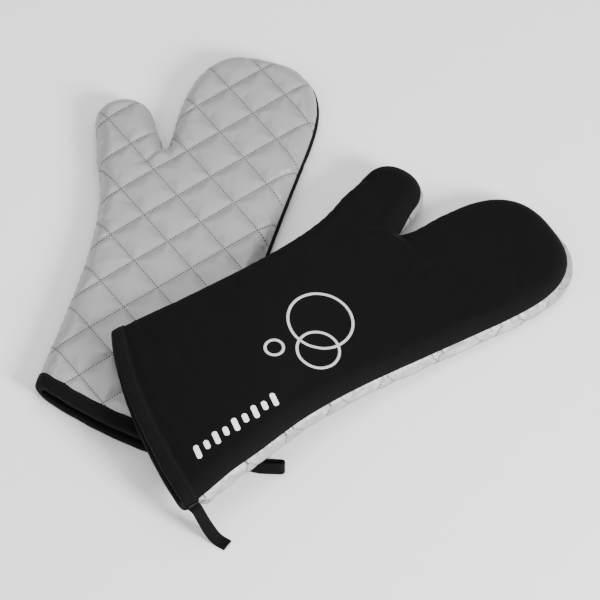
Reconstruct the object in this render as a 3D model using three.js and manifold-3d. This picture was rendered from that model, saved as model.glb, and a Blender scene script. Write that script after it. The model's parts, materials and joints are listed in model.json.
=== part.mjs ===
// A pair of long padded barbecue mitts, lying crossed on a table.
//
// The left mitt lies palm up on the table. The right mitt lies palm down across its gauntlet.
// Each mitt is drawn in a frame of its own: u runs from the cuff to the finger tips, v across the
// mitt towards the thumb, and w up from the lowest face. Both mitts have the same outline from
// above, because one is the mirror image of the other and lies the other way up.
//
// Every cloth layer is sewn from a palm half and a back half that meet at the side seam. Each half
// is divided once more, at the knuckles and at the root of the thumb, where the mitt folds.

import * as THREE from 'three';
import { mergeVertices } from 'three/addons/utils/BufferGeometryUtils.js';
import Module from 'manifold-3d';

const wasm = await Module();
wasm.setup();

// ---- Driving dimensions, in millimetres and degrees ----

const THICKNESS = 26;
const EDGE_ROUND = 16;
const MOST_ROUND = 0.7;
const SEAM_HEIGHT = { left: 11, right: 15 };

// Depth below the outer face at which each cloth layer starts and ends.
const LAYERS = {
  shell: { from: 0, to: 0.9 },
  padding: { from: 1.25, to: 4.9 },
  lining: { from: 5.25, to: 5.95 },
};

// The two long sides of the mitt, as (u, v) points joined by a smooth curve.
const THUMB_SIDE = [[0, 98], [90, 95], [160, 94], [205, 97], [232, 97], [262, 84], [300, 59], [350, 58]];
const OUTER_SIDE = [[0, -94], [60, -86], [120, -71], [180, -66], [250, -67], [300, -69], [350, -71]];
const TIP_START = 350;
const TIP_END = 432;
const TIP_FULLNESS = 2.7;
const TIP_EDGE_SHARE = 0.5;

const THUMB_ROOT = new THREE.Vector2(211, 52);
const THUMB_ANGLE = 25;
const THUMB_LENGTH = 153;
const THUMB_HALF_WIDTH = { root: 32, end: 28 };
const THUMB_TIP_LENGTH = 30;
const THUMB_TIP_FULLNESS = 2.2;
const THUMB_INSET = 0.4;

const CUFF_SLANT = 0.2;
const CUFF_SETBACK = 6;
const CUFF_BOW = 12;
const CUFF_BLEND = 150;

const KNUCKLE_LINE = 306;
const CROTCH = new THREE.Vector2(299.5, 61);
const THUMB_SEAM_SIDE = new THREE.Vector2(208, 105);
const CUT_GAP = 0.5;
const HALF_GAP = 0.4;

// Cutting solids reach this much further than what they cut.
const OVERCUT = 8;
const FIELD = { u: [-60, 500], v: [-150, 210], bottom: -100, top: 200, step: 40 };

const BINDING_WIDTH = 12;
const BINDING_CLOTH = 1;
const BINDING_CLEARANCE = 0.3;
const PINCH_FADE = 40;

const LOOP_LENGTH = { left: 46, right: 34 };
const LOOP_TAPE = { width: 10, thickness: 1.3, height: 8.2 };
const LOOP_ROOT_HALF = 1.5;
const LOOP_TURN = { left: -77, right: -73 };
const LOOP_ROOT_GAP = 5.4;
const TACK = { length: 12, height: 3, stand: 1.2, gap: 0.6, turn: 0.1 };

const PLACE = {
  left: { x: -152, y: -144.5, turn: 74.7 },
  right: { x: -131, y: -157, turn: 32.6 },
};
const REST_GAP = 1.6;
const SLOPE_START = -14;
const SLOPE_END = 275;
const SLOPE_BEND = 0.2;
const CORNER_SAG = 12;
const SAG_START = 12;
const SAG_REACH = 60;

const COLOURS = {
  silver_cloth: { color: 0xaeb0b2, roughness: 0.5, metalness: 0.2 },
  black_cloth: { color: 0x17171a, roughness: 0.9, metalness: 0 },
  wadding: { color: 0xe4e1d8, roughness: 1, metalness: 0 },
  lining_cloth: { color: 0xc9c7c2, roughness: 0.95, metalness: 0 },
  tape: { color: 0x121214, roughness: 0.85, metalness: 0 },
};

// ---- Curves that describe the outline ----

function smoothStep(x) {
  const t = Math.min(Math.max(x, 0), 1);
  return t * t * (3 - 2 * t);
}

// Smooth curve v(u) through hand-picked points, level at both ends.
function curveThrough(points, u) {
  const last = points.length - 1;
  const x = Math.min(Math.max(u, points[0][0]), points[last][0]);
  let i = 0;
  while (i < last - 1 && x > points[i + 1][0]) i += 1;
  const slope = (k) => (
    k === 0 || k === last ? 0 : (points[k + 1][1] - points[k - 1][1]) / (points[k + 1][0] - points[k - 1][0])
  );
  const span = points[i + 1][0] - points[i][0];
  const t = (x - points[i][0]) / span;
  const blend = t * t * (3 - 2 * t);
  return points[i][1] * (1 - blend) + points[i + 1][1] * blend
    + span * (slope(i) * t * (1 - t) * (1 - t) - slope(i + 1) * t * t * (1 - t));
}

// Half-width left at a fraction x of the way round a tip.
function tipWidth(x, fullness) {
  return (1 - Math.min(Math.max(x, 0), 1) ** fullness) ** (1 / fullness);
}

// Share of the full thickness left at a fraction x of the way round a tip.
function tipThickness(x) {
  return TIP_EDGE_SHARE + (1 - TIP_EDGE_SHARE) * Math.sqrt(1 - Math.min(Math.max(x, 0), 1) ** 4);
}

// ---- The shape each mitt takes on the table ----

// The cuff's edge is slanted and bowed, which fades out along the gauntlet.
function slantCuff(u, v) {
  const halfCuff = THUMB_SIDE[0][1];
  const setback = CUFF_SLANT * v - CUFF_SETBACK - CUFF_BOW * (1 - (v / halfCuff) ** 2);
  return u + setback * (1 - smoothStep(u / CUFF_BLEND));
}

function toTable(hand, u, v) {
  const { x, y, turn } = PLACE[hand];
  return new THREE.Vector2(u, v).rotateAround(new THREE.Vector2(), THREE.MathUtils.degToRad(turn))
    .add(new THREE.Vector2(x, y));
}

function fromTable(hand, point) {
  const { x, y, turn } = PLACE[hand];
  return point.clone().sub(new THREE.Vector2(x, y))
    .rotateAround(new THREE.Vector2(), THREE.MathUtils.degToRad(-turn));
}

// The right mitt lies level on the left one, slopes down past its outer side and sags past its cuff.
const ledge = (() => {
  const corner = fromTable('right', toTable('left', slantCuff(0, OUTER_SIDE[0][1]), OUTER_SIDE[0][1]));
  const side = fromTable('right', toTable('left', OUTER_SIDE[3][0], OUTER_SIDE[3][1]));
  const cuff = fromTable('right', toTable('left', slantCuff(0, 0), 0));
  const outward = (along) => new THREE.Vector2(along.y, -along.x).normalize();
  return {
    corner,
    pastSide: outward(side.clone().sub(corner)),
    pastCuff: outward(corner.clone().sub(cuff)),
  };
})();

// Share of the height left at a fraction x of the way down: it bends over, then eases to the table.
function slopeShare(x) {
  if (x <= 0) return 1;
  if (x < SLOPE_BEND) return 1 - (x * x) / SLOPE_BEND;
  return (1 - Math.min(x, 1)) ** 2 / (1 - SLOPE_BEND);
}

function liftOfRight(u, v) {
  const point = new THREE.Vector2(u, v).sub(ledge.corner);
  const past = (point.dot(ledge.pastSide) - SLOPE_START) / (SLOPE_END - SLOPE_START);
  const sag = CORNER_SAG * smoothStep((point.dot(ledge.pastCuff) - SAG_START) / SAG_REACH);
  return (THICKNESS + REST_GAP) * slopeShare(past) - sag;
}

// A point of a mitt's own frame, laid on the table.
function lay(hand, u, v, w) {
  const slanted = slantCuff(u, v);
  const flat = toTable(hand, slanted, v);
  const lift = hand === 'right' ? liftOfRight(slanted, v) : 0;
  return new THREE.Vector3(flat.x, flat.y, w + lift);
}

// ---- Solids ----

function toSolid(geometry) {
  geometry.deleteAttribute('normal');
  geometry.deleteAttribute('uv');
  const merged = mergeVertices(geometry, 1e-4);
  return new wasm.Manifold(new wasm.Mesh({
    numProp: 3,
    vertProperties: new Float32Array(merged.attributes.position.array),
    triVerts: new Uint32Array(merged.index.array),
  }));
}

function toGeometry(solid) {
  const mesh = solid.getMesh();
  const geometry = new THREE.BufferGeometry();
  geometry.setAttribute('position', new THREE.BufferAttribute(mesh.vertProperties, 3));
  geometry.setIndex(new THREE.BufferAttribute(mesh.triVerts, 1));
  geometry.computeVertexNormals();
  return geometry;
}

// A closed solid through rings of points. A ring starts at the thumb side, runs over the top to
// the outer side and comes back underneath, so its end caps are strips from top to bottom.
function loft(rings) {
  const count = rings[0].length;
  const index = [];
  for (let r = 0; r < rings.length - 1; r += 1) {
    for (let k = 0; k < count; k += 1) {
      const a = r * count + k;
      const b = r * count + ((k + 1) % count);
      index.push(a, b, b + count, a, b + count, a + count);
    }
  }
  const last = (rings.length - 1) * count;
  for (let k = 0; k < count / 2; k += 1) {
    const under = (count - k) % count;
    if (k > 0) {
      index.push(k, under, k + 1);
      index.push(last + k, last + k + 1, last + under);
    }
    if (k + 1 < count / 2) {
      index.push(k + 1, under, under === 0 ? count - 1 : under - 1);
      index.push(last + k + 1, last + (under === 0 ? count - 1 : under - 1), last + under);
    }
  }
  const geometry = new THREE.BufferGeometry().setFromPoints(rings.flat());
  geometry.setIndex(index);
  return toSolid(geometry);
}

// The cushion-shaped cross-section, as [v, w] pairs: flat faces joined by elliptical edges that
// meet at the side seam.
const QUARTER_STEPS = 2;
const FLAT_STEPS = 3;

function section(low, high, bottom, top, seam, round) {
  const points = [];
  const quarter = (centre, face, first, last) => {
    for (let i = first; i <= last; i += 1) {
      const angle = (i * Math.PI) / 2 / QUARTER_STEPS;
      points.push([centre + round * Math.cos(angle), seam + Math.abs(face - seam) * Math.sin(angle)]);
    }
  };
  const flat = (from, to, w) => {
    for (let i = 1; i < FLAT_STEPS; i += 1) points.push([from + ((to - from) * i) / FLAT_STEPS, w]);
  };
  quarter(high - round, top, 0, QUARTER_STEPS);
  flat(high - round, low + round, top);
  quarter(low + round, top, QUARTER_STEPS, 2 * QUARTER_STEPS);
  quarter(low + round, bottom, 2 * QUARTER_STEPS + 1, 3 * QUARTER_STEPS);
  flat(low + round, high - round, bottom);
  quarter(high - round, bottom, 3 * QUARTER_STEPS, 4 * QUARTER_STEPS - 1);
  return points;
}

const PALM_STATIONS = [12, 40, 75, 110, 150, 190, 230, 265, 300];
const TIP_FRACTIONS = [0, 0.45, 0.75, 0.92, 0.985];

// The tube of the gauntlet, palm and finger pouch, at a depth below the outer face.
function handTube(hand, depth, start, end = Infinity) {
  const seam = SEAM_HEIGHT[hand];
  const stations = [start, ...[0, ...PALM_STATIONS].filter((u) => u > start && u < end)];
  const tips = end === Infinity ? TIP_FRACTIONS : [];
  if (end !== Infinity) stations.push(end);
  tips.forEach((x) => stations.push(TIP_START + x * (TIP_END - TIP_START)));
  const rings = stations.map((u) => {
    const x = (u - TIP_START) / (TIP_END - TIP_START);
    const sides = [curveThrough(OUTER_SIDE, u), curveThrough(THUMB_SIDE, u)];
    const middle = (sides[0] + sides[1]) / 2;
    const half = ((sides[1] - sides[0]) / 2) * tipWidth(x, TIP_FULLNESS) - depth;
    const pinch = (BINDING_CLOTH + BINDING_CLEARANCE) * (1 - smoothStep((u - BINDING_WIDTH) / PINCH_FADE));
    const share = tipThickness(x);
    const top = seam + (THICKNESS - pinch - seam - depth) * share;
    const bottom = seam - (seam - pinch - depth) * share;
    const round = Math.min(EDGE_ROUND - depth, half * MOST_ROUND);
    const along = x > 0 ? u - x * depth : u;
    return section(middle - half, middle + half, bottom, top, seam, round)
      .map(([v, w]) => lay(hand, along, v, w));
  });
  return loft(rings);
}

const THUMB_STATIONS = [0, 85];
const THUMB_TIP_FRACTIONS = [0, 0.5, 0.8, 0.94];

function thumbTube(hand, depth) {
  const seam = SEAM_HEIGHT[hand];
  const turn = THREE.MathUtils.degToRad(THUMB_ANGLE);
  const along = new THREE.Vector2(Math.cos(turn), Math.sin(turn));
  const across = new THREE.Vector2(-along.y, along.x);
  const tipStart = THUMB_LENGTH - THUMB_TIP_LENGTH;
  const stations = [...THUMB_STATIONS, ...THUMB_TIP_FRACTIONS.map((x) => tipStart + x * THUMB_TIP_LENGTH)];
  const rings = stations.map((t) => {
    const x = (t - tipStart) / THUMB_TIP_LENGTH;
    const taper = smoothStep((t - THUMB_STATIONS[1]) / (tipStart - THUMB_STATIONS[1]));
    const full = THUMB_HALF_WIDTH.root + (THUMB_HALF_WIDTH.end - THUMB_HALF_WIDTH.root) * taper;
    const half = full * tipWidth(x, THUMB_TIP_FULLNESS) - depth;
    const share = tipThickness(x);
    const top = seam + (THICKNESS - THUMB_INSET - seam - depth) * share;
    const bottom = seam - (seam - THUMB_INSET - depth) * share;
    const centre = THUMB_ROOT.clone().addScaledVector(along, x > 0 ? t - x * depth : t);
    const round = Math.min(EDGE_ROUND - depth, half * MOST_ROUND);
    return section(-half, half, bottom, top, seam, round).map(([v, w]) => {
      const point = centre.clone().addScaledVector(across, v);
      return lay(hand, point.x, point.y, w);
    });
  });
  return loft(rings);
}

// Everything the mitt's outer face encloses, less a skin of the given depth.
function envelope(hand, depth, start) {
  return handTube(hand, depth, start).add(thumbTube(hand, depth));
}

// Everything below a height of the mitt's own frame.
function below(hand, top) {
  const [low, high] = FIELD.v;
  const edges = [];
  for (let v = low; v <= high; v += FIELD.step) edges.push(v);
  const middle = (FIELD.bottom + top) / 2;
  const stations = [FIELD.u[0], 0, ...PALM_STATIONS, TIP_START, (TIP_START + FIELD.u[1]) / 2, FIELD.u[1]];
  return loft(stations.map((u) => [
    lay(hand, u, high, middle),
    ...[...edges].reverse().map((v) => lay(hand, u, v, top)),
    lay(hand, u, low, middle),
    ...edges.map((v) => lay(hand, u, v, FIELD.bottom)),
  ]));
}

// An upright prism over a (u, v) outline.
function prism(hand, outline) {
  const shape = new THREE.Shape(outline.map(([u, v]) => toTable(hand, u, v)));
  const geometry = new THREE.ExtrudeGeometry(shape, {
    depth: FIELD.top - FIELD.bottom,
    bevelEnabled: false,
  });
  return toSolid(geometry.translate(0, 0, FIELD.bottom));
}

// The thumb's zone runs from its root line out past its tip, and stays clear of the finger pouch.
const THUMB_ZONE = { past: 110, drift: 22, rise: 40, back: 68 };

function thumbZone(hand, grow) {
  const rootLine = THUMB_SEAM_SIDE.clone().sub(CROTCH).normalize();
  const inward = new THREE.Vector2(-rootLine.y, rootLine.x);
  const crotch = CROTCH.clone().addScaledVector(inward, grow).addScaledVector(rootLine, -grow);
  const side = THUMB_SEAM_SIDE.clone().addScaledVector(inward, grow)
    .addScaledVector(rootLine, THUMB_ZONE.rise);
  return prism(hand, [
    [crotch.x, crotch.y],
    [crotch.x + THUMB_ZONE.past, crotch.y + THUMB_ZONE.drift],
    [crotch.x + THUMB_ZONE.past, FIELD.v[1]],
    [THUMB_SEAM_SIDE.x - THUMB_ZONE.back, FIELD.v[1]],
    [side.x, side.y],
  ]);
}

function fingerZone(hand, grow) {
  const start = KNUCKLE_LINE + CUT_GAP / 2 - grow;
  const [low, high] = FIELD.v;
  return prism(hand, [[start, low], [FIELD.u[1], low], [FIELD.u[1], high], [start, high]]);
}

// ---- The mitt's pieces ----

const pair = new THREE.Group();

function addPiece(name, geometry, colour) {
  const mesh = new THREE.Mesh(geometry, new THREE.MeshStandardMaterial(COLOURS[colour]));
  mesh.name = name;
  pair.add(mesh);
}

function clothColour(layer, half) {
  if (layer === 'padding') return 'wadding';
  if (layer === 'lining') return 'lining_cloth';
  return half === 'palm' ? 'silver_cloth' : 'black_cloth';
}

function addCloth(hand) {
  const seam = SEAM_HEIGHT[hand];
  const [upperHalf, lowerHalf] = hand === 'left' ? ['palm', 'back'] : ['back', 'palm'];
  const belowSeam = below(hand, seam - HALF_GAP / 2);
  const belowSeamAndGap = below(hand, seam + HALF_GAP / 2);
  const thumb = thumbZone(hand, 0);
  const thumbAndGap = thumbZone(hand, CUT_GAP);
  const fingers = fingerZone(hand, 0);
  const fingersAndGap = fingerZone(hand, CUT_GAP);
  Object.entries(LAYERS).forEach(([layer, depth]) => {
    const cloth = envelope(hand, depth.from, 0).subtract(envelope(hand, depth.to, -OVERCUT));
    const halves = {
      [upperHalf]: cloth.subtract(belowSeamAndGap),
      [lowerHalf]: cloth.intersect(belowSeam),
    };
    Object.entries(halves).forEach(([half, sheet]) => {
      const parts = {
        hand: sheet.subtract(thumbAndGap).subtract(fingersAndGap),
        finger: sheet.subtract(thumbAndGap).intersect(fingers),
        thumb: sheet.intersect(thumb),
      };
      Object.entries(parts).forEach(([zone, solid]) => {
        addPiece(`${hand}_${zone}_${half}_${layer}`, toGeometry(solid), clothColour(layer, half));
      });
    });
  });
}

// Folded tape round the mouth: an outer and an inner band joined over the cuff's edge.
function addBinding(hand) {
  const outside = -BINDING_CLOTH - BINDING_CLEARANCE;
  const inside = LAYERS.lining.to + BINDING_CLEARANCE;
  const lip = -BINDING_CLOTH - BINDING_CLEARANCE;
  const band = handTube(hand, outside, lip, BINDING_WIDTH)
    .subtract(handTube(hand, inside + BINDING_CLOTH, lip - OVERCUT, BINDING_WIDTH + OVERCUT));
  const slot = handTube(hand, -BINDING_CLEARANCE, -BINDING_CLEARANCE, BINDING_WIDTH + OVERCUT / 2)
    .subtract(handTube(hand, inside, lip - OVERCUT, BINDING_WIDTH + OVERCUT));
  addPiece(`${hand}_cuff_binding`, toGeometry(band.subtract(slot)), 'tape');
}

const CURVE_STEPS = 4;

// How far from the root the folded tape bends, levels off, opens and touches the table.
const LOOP_BENDS = { upper: 12, lower: 8, level: 28, ground: 22, opens: 11 };

// A folded tape seen from its edge: sewn together at the root, open where it lies on the table.
function loopOutline(root, length) {
  const { height } = LOOP_TAPE;
  const radius = height / 2;
  const outline = new THREE.Shape();
  outline.moveTo(0, root + LOOP_ROOT_HALF);
  outline.quadraticCurveTo(LOOP_BENDS.upper, height, LOOP_BENDS.level, height);
  outline.absarc(length - radius, radius, radius, Math.PI / 2, -Math.PI / 2, true);
  outline.lineTo(LOOP_BENDS.ground, 0);
  outline.quadraticCurveTo(LOOP_BENDS.lower, 0, 0, root - LOOP_ROOT_HALF);
  return outline;
}

function loopOpening(length) {
  const { height, thickness } = LOOP_TAPE;
  const radius = height / 2;
  const start = [LOOP_BENDS.opens, radius + LOOP_ROOT_HALF];
  const bend = (LOOP_BENDS.opens + LOOP_BENDS.level) / 2;
  const opening = new THREE.Shape();
  opening.moveTo(...start);
  opening.quadraticCurveTo(bend, height - thickness, LOOP_BENDS.level, height - thickness);
  opening.absarc(length - radius, radius, radius - thickness, Math.PI / 2, -Math.PI / 2, true);
  opening.lineTo(LOOP_BENDS.ground, thickness);
  opening.quadraticCurveTo(LOOP_BENDS.lower + LOOP_BENDS.opens / 2, thickness, ...start);
  return opening;
}

function tapeSolid(profile, width) {
  const geometry = new THREE.ExtrudeGeometry(profile, {
    depth: width,
    bevelEnabled: false,
    curveSegments: CURVE_STEPS,
  });
  return toSolid(geometry.translate(0, 0, -width / 2).rotateX(Math.PI / 2));
}

// The hanging loop and the bar tack that sews it to the cuff's outer corner.
function addLoop(hand) {
  const cuffSide = OUTER_SIDE[0][1] - BINDING_CLOTH - BINDING_CLEARANCE;
  const middle = BINDING_WIDTH / 2;
  const turn = THREE.MathUtils.degToRad(PLACE[hand].turn);
  const corner = lay(hand, middle, cuffSide - TACK.gap, SEAM_HEIGHT[hand]);
  const tackAt = lay(hand, middle, cuffSide - TACK.gap - TACK.stand / 2, SEAM_HEIGHT[hand]);
  const tack = new THREE.BoxGeometry(TACK.length, TACK.stand, TACK.height);
  tack.rotateZ(turn + TACK.turn).translate(tackAt.x, tackAt.y, corner.z);
  addPiece(`${hand}_loop_tack`, tack, 'tape');
  const length = LOOP_LENGTH[hand];
  const solid = tapeSolid(loopOutline(corner.z, length), LOOP_TAPE.width)
    .subtract(tapeSolid(loopOpening(length), 2 * LOOP_TAPE.width));
  const tape = toGeometry(solid);
  tape.rotateZ(turn + THREE.MathUtils.degToRad(LOOP_TURN[hand]));
  const loopAt = lay(hand, middle, cuffSide - LOOP_ROOT_GAP, SEAM_HEIGHT[hand]);
  tape.translate(loopAt.x, loopAt.y, 0);
  addPiece(`${hand}_hanging_loop`, tape, 'tape');
}

['left', 'right'].forEach((hand) => {
  addCloth(hand);
  addBinding(hand);
  addLoop(hand);
});

// The origin is the middle of the pair's footprint, on the table.
const box = new THREE.Box3().setFromObject(pair, true);
const middle = box.getCenter(new THREE.Vector3());
pair.position.set(-middle.x, -middle.y, -box.min.z);

export default pair;
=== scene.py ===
"""A pair of long padded barbecue mitts, crossed on a pale floor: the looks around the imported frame.

Lengths are metres. Each mitt has a flat frame of its own: u runs from the cuff to the finger tips,
v across towards the thumb, and w up. lay() puts a point of that frame where the mitt lies.
"""

import json
import math

import bmesh
import bpy
import numpy as np
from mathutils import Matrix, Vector, geometry
from mathutils.bvhtree import BVHTree
from mathutils.kdtree import KDTree


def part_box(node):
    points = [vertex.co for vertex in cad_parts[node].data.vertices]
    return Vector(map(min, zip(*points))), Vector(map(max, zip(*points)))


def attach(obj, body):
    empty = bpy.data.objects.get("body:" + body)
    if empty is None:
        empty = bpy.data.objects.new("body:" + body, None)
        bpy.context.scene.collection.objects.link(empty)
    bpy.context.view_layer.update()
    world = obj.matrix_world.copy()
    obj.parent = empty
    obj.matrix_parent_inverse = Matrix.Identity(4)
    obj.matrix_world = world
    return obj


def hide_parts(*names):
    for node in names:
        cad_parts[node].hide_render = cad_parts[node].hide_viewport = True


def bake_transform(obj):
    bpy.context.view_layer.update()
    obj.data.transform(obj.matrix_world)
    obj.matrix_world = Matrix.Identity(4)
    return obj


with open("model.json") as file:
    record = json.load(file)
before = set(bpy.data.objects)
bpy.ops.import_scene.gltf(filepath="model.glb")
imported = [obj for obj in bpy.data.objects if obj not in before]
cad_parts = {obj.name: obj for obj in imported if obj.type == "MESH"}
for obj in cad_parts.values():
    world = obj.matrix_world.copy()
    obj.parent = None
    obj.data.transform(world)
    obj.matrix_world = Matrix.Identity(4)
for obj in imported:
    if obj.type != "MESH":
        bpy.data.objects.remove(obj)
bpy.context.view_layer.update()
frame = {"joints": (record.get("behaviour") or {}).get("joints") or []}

MM = 0.001
HANDS = ("left", "right")
HALVES = ("palm", "back")
# The half of each mitt that faces up as it lies, and the half under it.
UPPER = {"left": "palm", "right": "back"}
LOWER = {"left": "back", "right": "palm"}


def side_of(hand, half):
    """+1 for the half of a mitt that faces up, -1 for the one under it."""
    return 1 if UPPER[hand] == half else -1


# ---- Sizes of a mitt ----

THICKNESS = 26 * MM
EDGE_ROUND = 16 * MM
SEAM_HEIGHT = {"left": 11 * MM, "right": 15 * MM}
CROWN = 1.2 * MM
CLOTH_DEPTH = 4.9 * MM
LINING_DEPTH = (5.25 * MM, 5.95 * MM)

THUMB_SIDE = MM * np.array(
    [(0, 98), (90, 95), (160, 94), (205, 97), (232, 97), (262, 84), (300, 59), (350, 58)])
OUTER_SIDE = MM * np.array(
    [(0, -94), (60, -86), (120, -71), (180, -66), (250, -67), (300, -69), (350, -71)])
TIP_START = 350 * MM
TIP_END = 432 * MM
TIP_FULLNESS = 2.7
THUMB_ROOT = np.array((211, 52)) * MM
THUMB_ANGLE = math.radians(25)
THUMB_LENGTH = 153 * MM
THUMB_HALF_WIDTH = (32 * MM, 28 * MM)
THUMB_TAPER = (85 * MM, 123 * MM)
THUMB_TIP = 30 * MM
THUMB_TIP_FULLNESS = 2.2

CUFF_SLANT = 0.2
CUFF_SETBACK = 6 * MM
CUFF_BOW = 12 * MM
CUFF_BLEND = 150 * MM
BINDING_WIDTH = 12 * MM
BINDING_ROOM = 1.3 * MM
BINDING_CLOTH = 1.0 * MM
PINCH_FADE = 40 * MM

KNUCKLE_LINE = 306 * MM
CROTCH = np.array((299.5, 61)) * MM
THUMB_SEAM_SIDE = np.array((208, 105)) * MM
FINGER_BEND = (304 * MM, 372 * MM)
THUMB_BEND = 46 * MM

REST_GAP = 1.6 * MM
SLOPE = (-14 * MM, 275 * MM)
SLOPE_BEND = 0.2
CORNER_SAG = 12 * MM
SAG_START = 12 * MM
SAG_REACH = 60 * MM

QUILT_PITCH = 38.2 * MM
# The direction of each row of quilting lines, and how far the first line is from the origin.
QUILT_LINES = ((math.radians(141), 11.66 * MM), (math.radians(51.5), 15.79 * MM))
# How far the lower cloth swells out past the side seam, which is drawn up over it.
SWELL = {"left": 5 * MM, "right": 9 * MM}
# Cloth this far each way from the origin covers a whole mitt.
CLOTH_REACH = 0.6
# How far from the side seam its dullness and its fullness reach.
NEAR_SEAM = 9 * MM
# A length too small to divide by.
TINY = 1e-9
# Further from the side seam than anything is.
FAR = 1.0


# ---- Curves ----

def smooth_step(x):
    t = np.clip(x, 0, 1)
    return t * t * (3 - 2 * t)


def bump(x, width):
    """1 at x = 0, falling smoothly away on both sides."""
    return np.exp(-(x / width) ** 2)


def heading(turn):
    return np.array((math.cos(turn), math.sin(turn)))


def turned_left(vectors):
    return np.stack((-vectors[..., 1], vectors[..., 0]), -1)


def unit(vectors):
    return vectors / np.maximum(np.linalg.norm(vectors, axis=1)[:, None], TINY)


def length_along(line):
    """How far along a polyline each of its points is."""
    return np.concatenate(((0,), np.cumsum(np.linalg.norm(np.diff(line, axis=0), axis=1))))


def curve_through(points, u):
    """A smooth curve v(u) through points, level at both ends."""
    x, y = points[:, 0], points[:, 1]
    slope = np.zeros(len(x))
    slope[1:-1] = (y[2:] - y[:-2]) / (x[2:] - x[:-2])
    u = np.clip(u, x[0], x[-1])
    i = np.clip(np.searchsorted(x, u) - 1, 0, len(x) - 2)
    span = x[i + 1] - x[i]
    t = (u - x[i]) / span
    ease = t * t * (3 - 2 * t)
    swing = slope[i] * t * (1 - t) ** 2 - slope[i + 1] * t * t * (1 - t)
    return y[i] * (1 - ease) + y[i + 1] * ease + span * swing


def tip_width(x, fullness):
    return (1 - np.clip(x, 0, 1) ** fullness) ** (1 / fullness)


# ---- Where each mitt lies, from the joints of the frame ----

joints = {joint["name"]: joint for joint in frame["joints"]}


def placement(hand):
    """The mitt's origin and its u and v directions on the floor, from its finger hinge."""
    hinge = joints[f"{hand}_finger_fold"]
    across = -np.array(hinge["axis"][:2])
    across /= np.linalg.norm(across)
    along = np.array((across[1], -across[0]))
    sides = [float(curve_through(side, KNUCKLE_LINE)) for side in (OUTER_SIDE, THUMB_SIDE)]
    middle = (sides[0] + sides[1]) / 2 + 2 * MM
    origin = np.array(hinge["pos_m"][:2]) - along * KNUCKLE_LINE - across * middle
    return origin, along, across


PLACE = {hand: placement(hand) for hand in HANDS}


def to_table(hand, u, v):
    origin, along, across = PLACE[hand]
    return origin + np.multiply.outer(u, along) + np.multiply.outer(v, across)


def from_table(hand, points):
    origin, along, across = PLACE[hand]
    return (points - origin) @ np.stack((along, across), 1)


def slant_cuff(u, v):
    half_cuff = THUMB_SIDE[0, 1]
    setback = CUFF_SLANT * v - CUFF_SETBACK - CUFF_BOW * (1 - (v / half_cuff) ** 2)
    return u + setback * (1 - smooth_step(u / CUFF_BLEND))


def slanted(points):
    return np.stack((slant_cuff(points[..., 0], points[..., 1]), points[..., 1]), -1)


def unslanted(points):
    """The pattern points that slanted() puts at the given places."""
    flat = points.copy()
    for _ in range(12):
        flat[..., 0] = points[..., 0] - (slant_cuff(flat[..., 0], flat[..., 1]) - flat[..., 0])
    return flat


def outward(along):
    return np.array((along[1], -along[0])) / np.linalg.norm(along)


corner_v = OUTER_SIDE[0, 1]
ledge_corner = from_table("right", to_table("left", slant_cuff(0.0, corner_v), corner_v))
ledge_side = from_table("right", to_table("left", OUTER_SIDE[3, 0], OUTER_SIDE[3, 1]))
ledge_cuff = from_table("right", to_table("left", slant_cuff(0.0, 0.0), 0.0))
PAST_SIDE = outward(ledge_side - ledge_corner)
PAST_CUFF = outward(ledge_corner - ledge_cuff)


def slope_share(x):
    bend = 1 - x * x / SLOPE_BEND
    ease = (1 - np.clip(x, 0, 1)) ** 2 / (1 - SLOPE_BEND)
    return np.where(x <= 0, 1.0, np.where(x < SLOPE_BEND, bend, ease))


def lift_of_right(u, v):
    """How far the right mitt is raised where it lies on the left one."""
    point = np.stack((u, v), -1) - ledge_corner
    past = (point @ PAST_SIDE - SLOPE[0]) / (SLOPE[1] - SLOPE[0])
    sag = CORNER_SAG * smooth_step((point @ PAST_CUFF - SAG_START) / SAG_REACH)
    return (THICKNESS + REST_GAP) * slope_share(past) - sag


def lay(hand, points):
    """Slanted (u, v, w) points of a mitt, laid on the floor."""
    points = np.asarray(points, float)
    flat = to_table(hand, points[..., 0], points[..., 1])
    lift = lift_of_right(points[..., 0], points[..., 1]) if hand == "right" else 0.0
    return np.concatenate((flat, (points[..., 2] + lift)[..., None]), -1)


# ---- The mitt's outline, seen from above ----

def fillet(line, corner, before, after, steps=24):
    """Rounds a corner of a polyline off with one smooth bend, reaching before and after along it."""
    along = length_along(line)
    start = np.searchsorted(along, along[corner] - before)
    end = np.searchsorted(along, along[corner] + after)
    t = np.linspace(0, 1, steps)[:, None]
    bend = (1 - t) ** 2 * line[start] + 2 * t * (1 - t) * line[corner] + t * t * line[end]
    return np.concatenate((line[:start], bend, line[end + 1:]))


def resample(line, spacing):
    """Evenly spaced points along an open polyline."""
    along = length_along(line)
    count = max(2, int(round(along[-1] / spacing)) + 1)
    at = np.linspace(0, along[-1], count)
    return np.stack((np.interp(at, along, line[:, 0]), np.interp(at, along, line[:, 1])), -1)


def hand_sides(u):
    low, high = curve_through(OUTER_SIDE, u), curve_through(THUMB_SIDE, u)
    middle, half = (low + high) / 2, (high - low) / 2
    half = half * tip_width((u - TIP_START) / (TIP_END - TIP_START), TIP_FULLNESS)
    return middle - half, middle + half


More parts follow.
